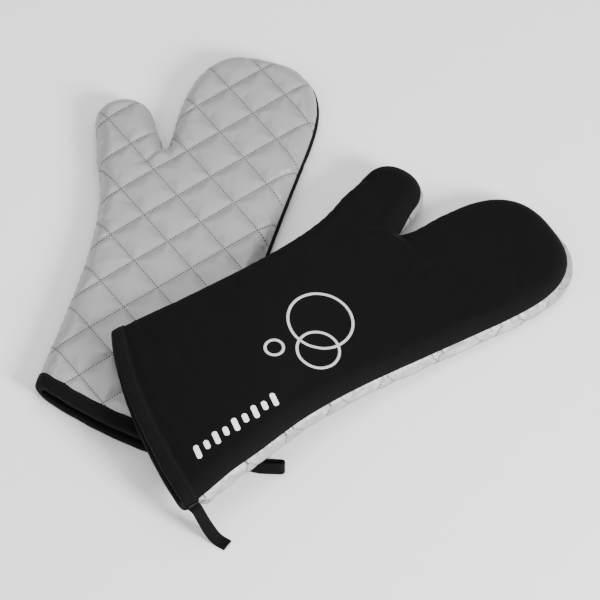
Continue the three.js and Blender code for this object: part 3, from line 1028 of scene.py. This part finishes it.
def woven_tape(name, colour):
    """Narrow cotton tape: cross ribs, a little lint."""
    make = Shader(name, Specular_IOR_Level=0.08, Sheen_Weight=0.015, Sheen_Roughness=0.4)
    plain = make.pattern()
    tone = make.mottled(plain, (60.0, 3.0), 0.85, 1.15, (900.0,), 0.2)
    ribs = make.math("ADD", make.ribs(plain, 260.0, 0.8), make.weave(plain, 0.8 * MM))
    weave = make.raised(ribs, 0.00009, 0.6)
    rough = make.spread(make.noise(plain, 260.0), 0.8, 0.95)
    return make.done(make.tinted(colour, tone), rough, weave)


def lining_cloth():
    """Thin pale cotton with a plain weave and soft shading."""
    make = Shader("lining_cloth", Specular_IOR_Level=0.25)
    plain = make.pattern()
    tone = make.mottled(plain, (45.0, 3.0), 0.9, 1.06, (800.0,), 0.06)
    folds = make.raised(make.noise(plain, 70.0, 3.0), 0.0012, 0.4)
    weave = make.raised(make.weave(plain, 0.9 * MM), 0.0001, 0.6, folds)
    rough = make.spread(make.noise(plain, 200.0), 0.85, 0.97)
    return make.done(make.tinted(rgb(0.43, 0.425, 0.41), tone), rough, weave)


def twisted_thread(name, colour, rough):
    """Sewing thread: plies seen as fine bands, varying a little from stitch to stitch."""
    make = Shader(name, Specular_IOR_Level=0.4)
    place = make.node("ShaderNodeTexCoord", "Object")
    tone = make.spread(make.noise(place, 350.0, 1.0), 0.75, 1.2)
    plies = make.node("ShaderNodeTexWave", "Fac", {"bands_direction": "DIAGONAL"}, Vector=place, Scale=700.0)
    normal = make.raised(plies, 0.0001, 0.5)
    roughness = make.spread(make.noise(place, 500.0), rough - 0.08, rough + 0.08)
    return make.done(make.tinted(colour, tone), roughness, normal)


def screen_print(name, colour):
    """Ink on twill: the weave shows through it, with tiny gaps where the ribs dip."""
    make = Shader(name, Specular_IOR_Level=0.35)
    plain = make.pattern()
    tone = make.mottled(plain, (90.0, 2.0), 0.93, 1.04, (1100.0,), 0.05)
    normal = make.raised(make.ribs(make.pattern(turn=TWILL_TURN), 380.0, 1.2), 0.00006, 0.5)
    rough = make.spread(make.noise(plain, 240.0), 0.5, 0.64)
    return make.done(make.tinted(colour, tone), rough, normal)


SILVER_CLOTH = silver_cloth()
BLACK_CLOTH = black_cloth()
LINING_CLOTH = lining_cloth()
BLACK_TAPE = woven_tape("black_tape", rgb(0.0040, 0.0040, 0.0043))
SILVER_THREAD = twisted_thread("silver_thread", rgb(0.33, 0.33, 0.335), 0.45)
BLACK_THREAD = twisted_thread("black_thread", rgb(0.010, 0.010, 0.011), 0.6)
GREY_PRINT = screen_print("grey_print", rgb(0.50, 0.50, 0.50))
WHITE_PRINT = screen_print("white_print", rgb(0.86, 0.86, 0.86))


# ---- The cloth panels and the linings ----

PATTERN, PATTERN_FACES = pattern_mesh(FINE, ring_reach=7 * MM)
PATTERN_EDGE = edge_distance(PATTERN)
FINE_FLAT = subdivided(np.column_stack((PATTERN, np.zeros(len(PATTERN)))), PATTERN_FACES)[0][:, :2]
FINE_EDGE = edge_distance(FINE_FLAT)
# Keeps the faces of a closed piece apart where they meet at the side seam.
RIM_GAP = 0.05 * MM


def nodes_of(hand, zone, half, layers):
    return [f"{hand}_{part}_{half}_{layer}" for part in ZONES[zone] for layer in layers]


def add_panels(cloth):
    """The quilted or plain outer cloth with its wadding: one piece for the hand, one for the thumb."""
    hand, half, side = cloth.hand, cloth.half, cloth.side
    inner = smooth_layer(hand, side, cloth.flat, FINE_EDGE, CLOTH_DEPTH)
    inner[:, 2] += side * RIM_GAP * (FINE_EDGE < CLOTH_DEPTH)
    places = cloth_place(hand, side, cloth.flat, FINE_EDGE)
    material = SILVER_CLOTH if half == "palm" else BLACK_CLOTH
    for zone, chosen in by_zone(cloth.flat[cloth.quads].mean(1)):
        piece = closed_sheet(f"{hand}_{zone}_{half}", cloth.quads[chosen], cloth.outer, inner, cloth.normals,
                             places, FINE_EDGE, side)
        finish_piece(piece, material)
        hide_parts(*nodes_of(hand, zone, half, ("shell", "padding")))
        follow(piece, hand, zone)


CLOTH = {(hand, half): Half(hand, half) for hand in HANDS for half in HALVES}
for cloth in CLOTH.values():
    add_panels(cloth)

LINING, LINING_FACES = pattern_mesh(COARSE, ring_reach=9 * MM)
LINING_FLAT, LINING_QUADS = subdivided(np.column_stack((LINING, np.zeros(len(LINING)))), LINING_FACES)
LINING_FLAT = LINING_FLAT[:, :2]
LINING_EDGE = edge_distance(LINING_FLAT)


def add_linings(hand, half):
    """Thin pale cotton inside the wadding, sagging a little between its seams."""
    side = side_of(hand, half)
    seed = 70 + 10 * HANDS.index(hand) + side
    loose = 0.35 * MM * (1 + ripple(LINING_FLAT, seed, 30 * MM)) * smooth_step(LINING_EDGE / (20 * MM))
    faces = [smooth_layer(hand, side, LINING_FLAT, LINING_EDGE, depth) for depth in LINING_DEPTH]
    for number, face in enumerate(faces):
        edge = RIM_GAP * (2 - number)
        face[:, 2] += side * edge * (LINING_EDGE < LINING_DEPTH[number])
        face[:, 2] -= side * loose
    normals = side * vertex_normals(faces[0], LINING_QUADS)
    for zone, chosen in by_zone(LINING_FLAT[LINING_QUADS].mean(1)):
        quads = LINING_QUADS[chosen]
        piece = closed_sheet(f"{hand}_{zone}_{half}_inner_cloth", quads, faces[0], faces[1], normals,
                             LINING_FLAT, LINING_EDGE, side)
        finish_piece(piece, LINING_CLOTH)
        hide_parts(*nodes_of(hand, zone, half, ("lining",)))
        follow(piece, hand, zone)


for hand in HANDS:
    for half in HALVES:
        add_linings(hand, half)


# ---- Stitches ----

def seam_rows(pitch, room):
    """Start and end points in (u, v) of every stitch of the quilting further than room from the seam."""
    starts, ends = [], []
    directions, normals = quilt_frame()
    draw = np.random.default_rng(5)
    count = int(CLOTH_REACH / QUILT_PITCH)
    along = (np.arange(-int(CLOTH_REACH / pitch), int(CLOTH_REACH / pitch)) + 0.5) * pitch
    for direction, normal, (_, phase) in zip(directions, normals, QUILT_LINES):
        for number in range(-count, count + 1):
            middle = normal * (phase + number * QUILT_PITCH) + np.multiply.outer(along, direction)
            flat = unslanted(middle)
            chosen = ((flat > OUTLINE.min(0)) & (flat < OUTLINE.max(0))).all(1)
            chosen[chosen] = inside_outline(flat[chosen])
            chosen[chosen] = edge_distance(flat[chosen]) > room
            middle = middle[chosen & (flat[:, 0] > BINDING_WIDTH + 2 * MM)]
            half = STITCH_HALF * pitch * draw.uniform(0.9, 1.1, len(middle))[:, None] * direction
            starts.append(unslanted(middle - half))
            ends.append(unslanted(middle + half))
    return np.concatenate(starts), np.concatenate(ends)


def add_quilt_stitches(hand):
    """The quilting thread of a mitt's palm; a palm that lies underneath has it on its flat middle only."""
    starts, ends = seam_rows(STITCH_PITCH, 2 * MM if UPPER[hand] == "palm" else EDGE_ROUND)
    for zone, chosen in by_zone((starts + ends) / 2):
        flat = between(starts[chosen], ends[chosen])
        places, normals = CLOTH[hand, "palm"].on_cloth(flat.reshape(-1, 2))
        shape = flat.shape[:2] + (3,)
        piece = thread(f"{hand}_{zone}_quilting_thread", places.reshape(shape), normals.reshape(shape),
                       **QUILT_THREAD)
        finish_piece(piece, SILVER_THREAD)
        follow(piece, hand, zone)


for hand in HANDS:
    add_quilt_stitches(hand)


# ---- Cuff bindings ----

BINDING_INSIDE = LINING_DEPTH[1] + 0.3 * MM + BINDING_CLOTH
LIP = 2.3 * MM
LIP_FULLNESS = 2.6
TOPSTITCH_AT = 9.5 * MM
TOPSTITCH_PITCH = 3.2 * MM
TOPSTITCH_THREAD = {"sink": 0.2 * MM, "rise": 0.22 * MM, "radius": 0.24 * MM}
CUFF_EDGE = 1.0 * MM
# How deep the topstitching pulls the binding in.
DIP = 0.42 * MM


def mouth_stations(step):
    """Stations round the mouth as (side, end, turn, flat): rounded edges joined by flat runs."""
    turns = np.linspace(0, math.pi / 2, 8)
    flats = np.linspace(0, 1, int(170 * MM / step))[1:-1]
    upper = [(1, -1, turn, 0) for turn in turns] + [(1, 0, math.pi / 2, flat) for flat in flats]
    upper += [(1, 1, turn, 0) for turn in turns[::-1]]
    lower = [(-1, end, turn, 1 - flat if end == 0 else 0) for _, end, turn, flat in upper]
    lower = [(side, -end, turn, flat) for side, end, turn, flat in lower][1:-1]
    return np.roll(np.array(upper + lower), len(lower) // 2, axis=0)


def mouth_points(hand, stations, u, depth):
    """Laid places at stations round the mouth, at u along the mitt and a depth into its cloth."""
    side, end, turn, flat = stations.T
    low, high = hand_sides(np.maximum(u, 0))
    edge = depth + (EDGE_ROUND - depth) * (1 - np.cos(turn))
    level = low + EDGE_ROUND + (high - low - 2 * EDGE_ROUND) * flat
    v = np.where(end < 0, low + edge, np.where(end > 0, high - edge, level))
    pinch = BINDING_ROOM * (1 - smooth_step((u - BINDING_WIDTH) / PINCH_FADE))
    face = np.where(side > 0, THICKNESS - pinch, pinch)
    seam = SEAM_HEIGHT[hand]
    w = seam + (face - side * depth - seam) * np.sin(turn)
    return lay(hand, np.stack((slant_cuff(u, v), v, w), -1))


def arc(centre, radii, low, high, steps):
    """Points on a full rounded end, between two turns from its middle."""
    turns = np.linspace(low, high, steps)
    x = np.sign(np.cos(turns)) * np.abs(np.cos(turns)) ** (2 / LIP_FULLNESS)
    y = np.sign(np.sin(turns)) * np.abs(np.sin(turns)) ** (2 / LIP_FULLNESS)
    return [(centre[0] - radii[0] * a, centre[1] + radii[1] * b) for a, b in zip(x, y)]


def binding_profile():
    """The folded tape's section as (u, depth), round both its bands and over the cuff's edge."""
    far = BINDING_WIDTH
    top, under = -BINDING_ROOM, -BINDING_ROOM + BINDING_CLOTH
    low, inner = BINDING_INSIDE, BINDING_INSIDE - BINDING_CLOTH
    middle = (top + low) / 2
    crest = 0.18 * MM
    stitch = TOPSTITCH_AT
    outer_band = [(far, under), (far + 0.1 * MM, top + 0.4 * MM), (far - 0.5 * MM, top + 0.1 * MM),
                  (far - 1.3 * MM, top - crest / 2), (stitch + 0.6 * MM, top + 0.1 * MM),
                  (stitch, top + DIP), (stitch - 0.6 * MM, top + 0.1 * MM),
                  (stitch - 1.8 * MM, top - crest), (5.5 * MM, top - crest), (3.2 * MM, top - crest / 2)]
    lip = arc((CUFF_EDGE, middle), (LIP + CUFF_EDGE, low - middle), -math.pi / 2, math.pi / 2, 13)
    inner_band = [(5.0 * MM, low), (far - 0.6 * MM, low), (far, low - 0.3 * MM), (far, inner)]
    inside = arc((CUFF_EDGE, middle), (LIP, inner - middle), math.pi / 2, -math.pi / 2, 9)
    return np.array(outer_band + lip + inner_band + [(6 * MM, inner)] + inside + [(6 * MM, under)])


def tube_faces(count, size, closed):
    """Faces of a tube through count rings of size points: closed on itself, or capped at both ends."""
    i, j = np.meshgrid(np.arange(count if closed else count - 1), np.arange(size), indexing="ij")
    after, beside = (i + 1) % count, (j + 1) % size
    quads = np.stack((i * size + j, after * size + j, after * size + beside, i * size + beside), -1)
    caps = [list(range(size)), [(count - 1) * size + k for k in range(size)][::-1]]
    return quads.reshape(-1, 4).tolist() + ([] if closed else caps)


def ring_of_rings(name, rings, across, along):
    """A closed tube through closed rings of points, with a pattern of (along, across)."""
    piece = new_mesh(name, rings.reshape(-1, 3), tube_faces(*rings.shape[:2], True))
    flat = np.stack(np.broadcast_arrays(along[:, None], across[None]), -1).reshape(-1, 2)
    add_pattern(piece, flat)
    return piece


def add_binding(hand):
    stations = mouth_stations(2.2 * MM)
    profile = binding_profile()
    edge = mouth_points(hand, stations, BINDING_WIDTH, 0.0)
    steps = np.linalg.norm(edge - np.roll(edge, 1, axis=0), axis=1)
    round_mouth = np.cumsum(steps)
    places = round_mouth[:, None] * np.array((1.0, 0.0))
    pucker = 0.16 * MM * ripple(places, 31 + HANDS.index(hand), 9 * MM)
    waver = 0.35 * MM * ripple(places, 41 + HANDS.index(hand), 26 * MM)
    rings = []
    for u, depth in profile:
        puckered = depth < 0.5 * MM and 1 * MM < u < BINDING_WIDTH - 1 * MM
        shift = waver * np.clip(u / BINDING_WIDTH, 0, 1) if u > 0 else waver * 0.5
        rings.append(mouth_points(hand, stations, u + shift, depth + pucker * puckered))
    rings = np.array(rings).transpose(1, 0, 2)
    piece = ring_of_rings(f"{hand}_binding", rings, length_along(profile), round_mouth)
    finish_piece(piece, BLACK_TAPE)
    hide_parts(f"{hand}_cuff_binding")
    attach(piece, f"{hand}_hand")
    add_topstitch(hand, stations, waver * TOPSTITCH_AT / BINDING_WIDTH + TOPSTITCH_AT, round_mouth)


def add_topstitch(hand, stations, u, round_mouth):
    """Black stitches round the binding, in the dip that they pull."""
    top = mouth_points(hand, stations, u, -BINDING_ROOM + DIP)
    deeper = mouth_points(hand, stations, u, 1 * MM)
    outward_normals = unit(top - deeper)
    middles = np.arange(TOPSTITCH_PITCH, round_mouth[-1] - TOPSTITCH_PITCH, TOPSTITCH_PITCH)
    at = middles[:, None] + np.linspace(-0.33, 0.33, 4)[None] * TOPSTITCH_PITCH
    places, normals = (np.stack([np.interp(at, round_mouth, values[:, k]) for k in range(3)], -1)
                       for values in (top, outward_normals))
    piece = thread(f"{hand}_binding_thread", places, normals, **TOPSTITCH_THREAD)
    finish_piece(piece, BLACK_THREAD)
    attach(piece, f"{hand}_hand")


for hand in HANDS:
    add_binding(hand)


# ---- Hanging loops ----

TAPE_WIDTH = 11.5 * MM
TAPE_CLOTH = 1.15 * MM
TAPE_REACH = {"left": 46 * MM, "right": 34 * MM}
TUCK = 6 * MM
TACK_BARS = 17
TACK_THREAD = {"sink": 0.35 * MM, "rise": 0.3 * MM, "radius": 0.42 * MM}


def tape(name, path, widths):
    """A woven tape along a path; widths are the unit directions of its width at each point."""
    tangent = unit(np.gradient(path, axis=0))
    face = unit(np.cross(tangent, widths))
    widths = np.cross(face, tangent)
    half, thick = TAPE_WIDTH / 2, TAPE_CLOTH / 2
    face_up = [(1, 0), (0.96, 0.75), (0.85, 1.0), (0.4, 0.86), (0, 0.8)]
    face_up += [(-x, y) for x, y in face_up[3:0:-1]]
    section = np.array(face_up + [(-x, -y) for x, y in face_up])
    rings = (path[:, None] + widths[:, None] * (section[None, :, :1] * half)
             + face[:, None] * (section[None, :, 1:] * thick))
    piece = new_mesh(name, rings.reshape(-1, 3), tube_faces(*rings.shape[:2], False))
    along = length_along(path)
    flat = np.stack(np.broadcast_arrays(along[:, None], (section[:, 0] * half)[None]), -1).reshape(-1, 2)
    add_pattern(piece, flat)
    mesh = bmesh.new()
    mesh.from_mesh(piece.data)
    bmesh.ops.recalc_face_normals(mesh, faces=mesh.faces)
    mesh.to_mesh(piece.data)
    mesh.free()
    return piece


def loop_root(hand):
    """The root of a hanging loop on the cuff, and the angle at which it lies away from it."""
    joint = joints[f"{hand}_loop_swing"]
    low, high = (np.array(corner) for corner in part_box(f"{hand}_hanging_loop"))
    root = np.array(joint["pos_m"])
    far = (low + high)[:2] / 2 - root[:2]
    return root, math.atan2(far[1], far[0])


def strand_lines(x, apart, fold, reach):
    """Points down both strands of a folded tape, as (along it, to one side), joined by a fold."""
    turn = np.linspace(-math.pi / 2, math.pi / 2, 11)[1:-1]
    end = reach - fold
    there = np.stack((x, -apart(x)), -1)
    bend = np.stack((end + fold * np.cos(turn), fold * np.sin(turn)), -1)
    back = np.stack((x[::-1], apart(x[::-1])), -1)
    return np.concatenate((there, bend, back))


def flat_loop(root, away_angle, reach):
    """A folded tape that drops from the cuff to the floor, its two strands one on the other."""
    fold, fall, floor_height = 0.95 * MM, 28 * MM, 1.75 * MM
    x = np.linspace(-TUCK, reach - fold, 30)
    lines = strand_lines(x, lambda x: TAPE_CLOTH / 2 + 0.08 * MM + 0.9 * MM * bump(x - 15 * MM, 6 * MM),
                         fold, reach)
    t = np.clip(lines[:, 0] / fall, 0, 1)
    height = floor_height + (root[2] - floor_height) * (1 - t) ** 2 * (1 + 0.9 * t)
    turned = away_angle + math.radians(-4) + math.radians(8) * smooth_step(lines[:, 0] / reach)
    away = np.stack((np.cos(turned), np.sin(turned)), -1) * lines[:, :1]
    path = np.column_stack((root[:2] + away, height + lines[:, 1]))
    widths = np.column_stack((-np.sin(turned), np.cos(turned), 0.1 * np.ones(len(turned))))
    return path, widths


def open_loop(root, away_angle, reach):
    """A folded tape that turns onto its edge and stands open on the floor."""
    fold, opened, turned, most_tilt = 4.2 * MM, 26 * MM, 24 * MM, math.radians(62)
    x = np.linspace(-TUCK, reach - fold, 36)
    lines = strand_lines(x, lambda x: TAPE_CLOTH / 2 + 0.05 * MM
                         + (fold - TAPE_CLOTH / 2) * smooth_step((x - 2 * MM) / opened), fold, reach)
    tilt = most_tilt * smooth_step(lines[:, 0] / turned)
    level = TAPE_WIDTH / 2 * np.sin(tilt) + (fold + TAPE_CLOTH / 2) * np.cos(tilt) + 0.2 * MM
    level = level + (root[2] - level) * (1 - smooth_step(lines[:, 0] / opened))
    away = np.append(heading(away_angle), 0)
    sideways = np.append(turned_left(heading(away_angle)), 0)
    up = np.array((0, 0, 1.0))
    widths = np.multiply.outer(np.cos(tilt), sideways) + np.multiply.outer(np.sin(tilt), up)
    normals = np.multiply.outer(-np.sin(tilt), sideways) + np.multiply.outer(np.cos(tilt), up)
    path = np.append(root[:2], 0) + lines[:, :1] * away + normals * lines[:, 1:]
    path[:, 2] += level
    return path, widths


def add_loop(hand):
    root, away_angle = loop_root(hand)
    path, widths = (open_loop if hand == "left" else flat_loop)(root, away_angle, TAPE_REACH[hand])
    piece = tape(f"{hand}_loop_tape", path, widths)
    finish_piece(piece, BLACK_TAPE)
    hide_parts(f"{hand}_hanging_loop")
    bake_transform(piece)


def add_tack(hand):
    """The bar tack that sews the loop's root to the cuff: close upright stitches over long ones."""
    node = f"{hand}_loop_tack"
    low, high = (np.array(corner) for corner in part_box(node))
    along = np.append(PLACE[hand][1], 0)
    out = -np.append(PLACE[hand][2], 0)
    centre = (low + high) / 2
    row = np.linspace(-5.2, 5.2, TACK_BARS) * MM
    out_of_row = np.random.default_rng(9).uniform(-0.15, 0.15, TACK_BARS) * MM
    middles = centre + np.multiply.outer(row, along) + np.multiply.outer(out_of_row, out)
    lean = np.multiply.outer(np.where(np.arange(TACK_BARS) % 2, 0.3, -0.3) * MM, along)
    upright = np.array((0, 0, 1.6 * MM))
    bars = between(middles - upright - lean, middles + upright + lean)
    heights = np.multiply.outer(np.array((-1.1, 0.0, 1.1)) * MM, (0, 0, 1.0))
    under = between(centre + heights - 5.4 * MM * along, centre + heights + 5.4 * MM * along)
    rows = np.concatenate((bars, under - 0.25 * MM * out))
    piece = thread(f"{hand}_tack", rows, np.broadcast_to(out, rows.shape), **TACK_THREAD)
    finish_piece(piece, BLACK_THREAD)
    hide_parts(node)
    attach(piece, f"{hand}_hand")


for hand in HANDS:
    add_loop(hand)
    add_tack(hand)


# ---- Printing on the black cloth of the upper mitt ----

# Each ring's middle (u, v) and diameter.
RINGS = MM * np.array(((181, 5, 60), (162, -21, 39), (128, -1, 16)))
RING_LINE = 2.6 * MM
BAR_ROW = {"centre": np.array((66, -55)) * MM, "length": 74 * MM, "turn": math.radians(10), "count": 9}
BAR_HEIGHT = (13 * MM, 9 * MM)
BAR_LINE = 4.4 * MM
INK = 0.13 * MM


def printed_line(centre, line, closed):
    """A band of ink lying on the cloth, as wide as line, along (u, v) points: its vertices and faces."""
    tangent = np.gradient(centre, axis=0)
    if closed:
        tangent = np.roll(centre, -1, axis=0) - np.roll(centre, 1, axis=0)
    side = turned_left(unit(tangent))
    shares = np.array((-0.5, -0.42, 0, 0.42, 0.5))
    widths = np.broadcast_to(line, len(centre))[:, None] * shares
    flat = centre[:, None] + side[:, None] * widths[..., None]
    places, normals = CLOTH["right", "back"].on_cloth(flat.reshape(-1, 2))
    lifts = np.tile(np.array((0.2, 1, 1, 1, 0.2)) * INK, len(centre))[:, None]
    top = (places + normals * lifts).reshape(len(centre), 5, 3)
    bottom = (places - normals * INK).reshape(len(centre), 5, 3)[:, ::-1]
    rings = np.concatenate((top, bottom), axis=1)
    faces = tube_faces(*rings.shape[:2], closed)
    return rings.reshape(-1, 3), faces, np.concatenate((flat, flat[:, ::-1]), axis=1).reshape(-1, 2)


def printed(name, lines, material):
    """All the printed lines of one ink as one piece, lying on the cloth under it."""
    vertices, faces, flats, start = [], [], [], 0
    for points, some_faces, flat in lines:
        faces += [[start + number for number in face] for face in some_faces]
        vertices.append(points)
        flats.append(flat)
        start += len(points)
    piece = new_mesh(name, np.concatenate(vertices), faces)
    flat = np.concatenate(flats)
    add_pattern(piece, flat)
    finish_piece(piece, material)
    follow(piece, "right", "hand")


def ring_line(u, v, size):
    turns = np.linspace(0, math.tau, round(size * 3 / MM), endpoint=False)
    return np.array((u, v)) + size / 2 * np.stack((np.cos(turns), np.sin(turns)), -1)


def bar_lines():
    """A row of plain leaning bars, tall and short by turns."""
    along = heading(BAR_ROW["turn"])
    up = turned_left(along) + 0.3 * along
    rows = []
    for number, place in enumerate(np.linspace(-0.5, 0.5, BAR_ROW["count"])):
        centre = BAR_ROW["centre"] + along * place * BAR_ROW["length"]
        t = np.sin(np.linspace(-math.pi / 2, math.pi / 2, 22)) / 2
        rows.append(centre + np.multiply.outer(t * BAR_HEIGHT[number % 2], up))
    return rows


def rounded_ends(line, width):
    """The width of a stroke at each of its points, rounded off at both ends."""
    along = length_along(line)
    near_end = np.minimum(along, along[-1] - along) / (width / 2)
    return width * np.sqrt(np.clip(1 - (1 - np.clip(near_end, 0.02, 1)) ** 2, 0, 1))


printed("ring_print", [printed_line(ring_line(*ring), RING_LINE, True) for ring in RINGS],
        GREY_PRINT)
printed("bar_print", [printed_line(line, rounded_ends(line, BAR_LINE), False) for line in bar_lines()],
        WHITE_PRINT)


# ---- Floor, lights and camera ----

def look_at(place, target):
    return (Vector(target) - Vector(place)).to_track_quat("-Z", "Y").to_euler()


def pale_floor():
    make = Shader("pale_floor", Specular_IOR_Level=0.1)
    place = make.node("ShaderNodeTexCoord", "Object")
    tone = make.spread(make.noise(place, 3.0, 2.0), 0.99, 1.0)
    grain = make.raised(make.noise(place, 500.0), 0.0001, 0.1)
    return make.done(make.tinted(rgb(0.93, 0.93, 0.93), tone), 0.9, grain)


floor = new_mesh("floor", [(-4, -4, 0), (4, -4, 0), (4, 4, 0), (-4, 4, 0)], [(0, 1, 2, 3)])
floor.data.materials.append(pale_floor())


def soft_light(name, place, size, power):
    """A square lamp over the mitts, turned to the middle of the floor."""
    light = bpy.data.lights.new(name, "AREA")
    light.size = size
    light.energy = power
    lamp = bpy.data.objects.new(name, light)
    lamp.location = place
    lamp.rotation_euler = look_at(place, (0, 0, 0))
    bpy.context.scene.collection.objects.link(lamp)


soft_light("key_light", (1.5, -1.35, 1.15), size=0.7, power=105)
soft_light("fill_light", (-1.4, -0.6, 1.7), size=1.6, power=16)
soft_light("top_light", (0.1, 1.0, 2.0), size=1.8, power=19)

world = bpy.data.worlds.new("pale_room")
world.use_nodes = True
world.node_tree.nodes["Background"].inputs["Color"].default_value = rgb(1.0, 1.0, 1.0)
world.node_tree.nodes["Background"].inputs["Strength"].default_value = 0.8
bpy.context.scene.world = world

# The camera looks down at a place given from the left mitt's origin on the floor.
ELEVATION = math.radians(54.8)
CAMERA_DISTANCE = 4.675
LENS = 300
AIM = np.array((152, 144.5)) * MM
camera = bpy.data.objects.new("camera", bpy.data.cameras.new("camera"))
camera.data.lens = LENS
target = Vector((*(PLACE["left"][0] + AIM), 0))
camera.location = target + CAMERA_DISTANCE * Vector((0, -math.cos(ELEVATION), math.sin(ELEVATION)))
camera.rotation_euler = look_at(camera.location, target)
camera.data.clip_end = 20
bpy.context.scene.collection.objects.link(camera)
bpy.context.scene.camera = camera
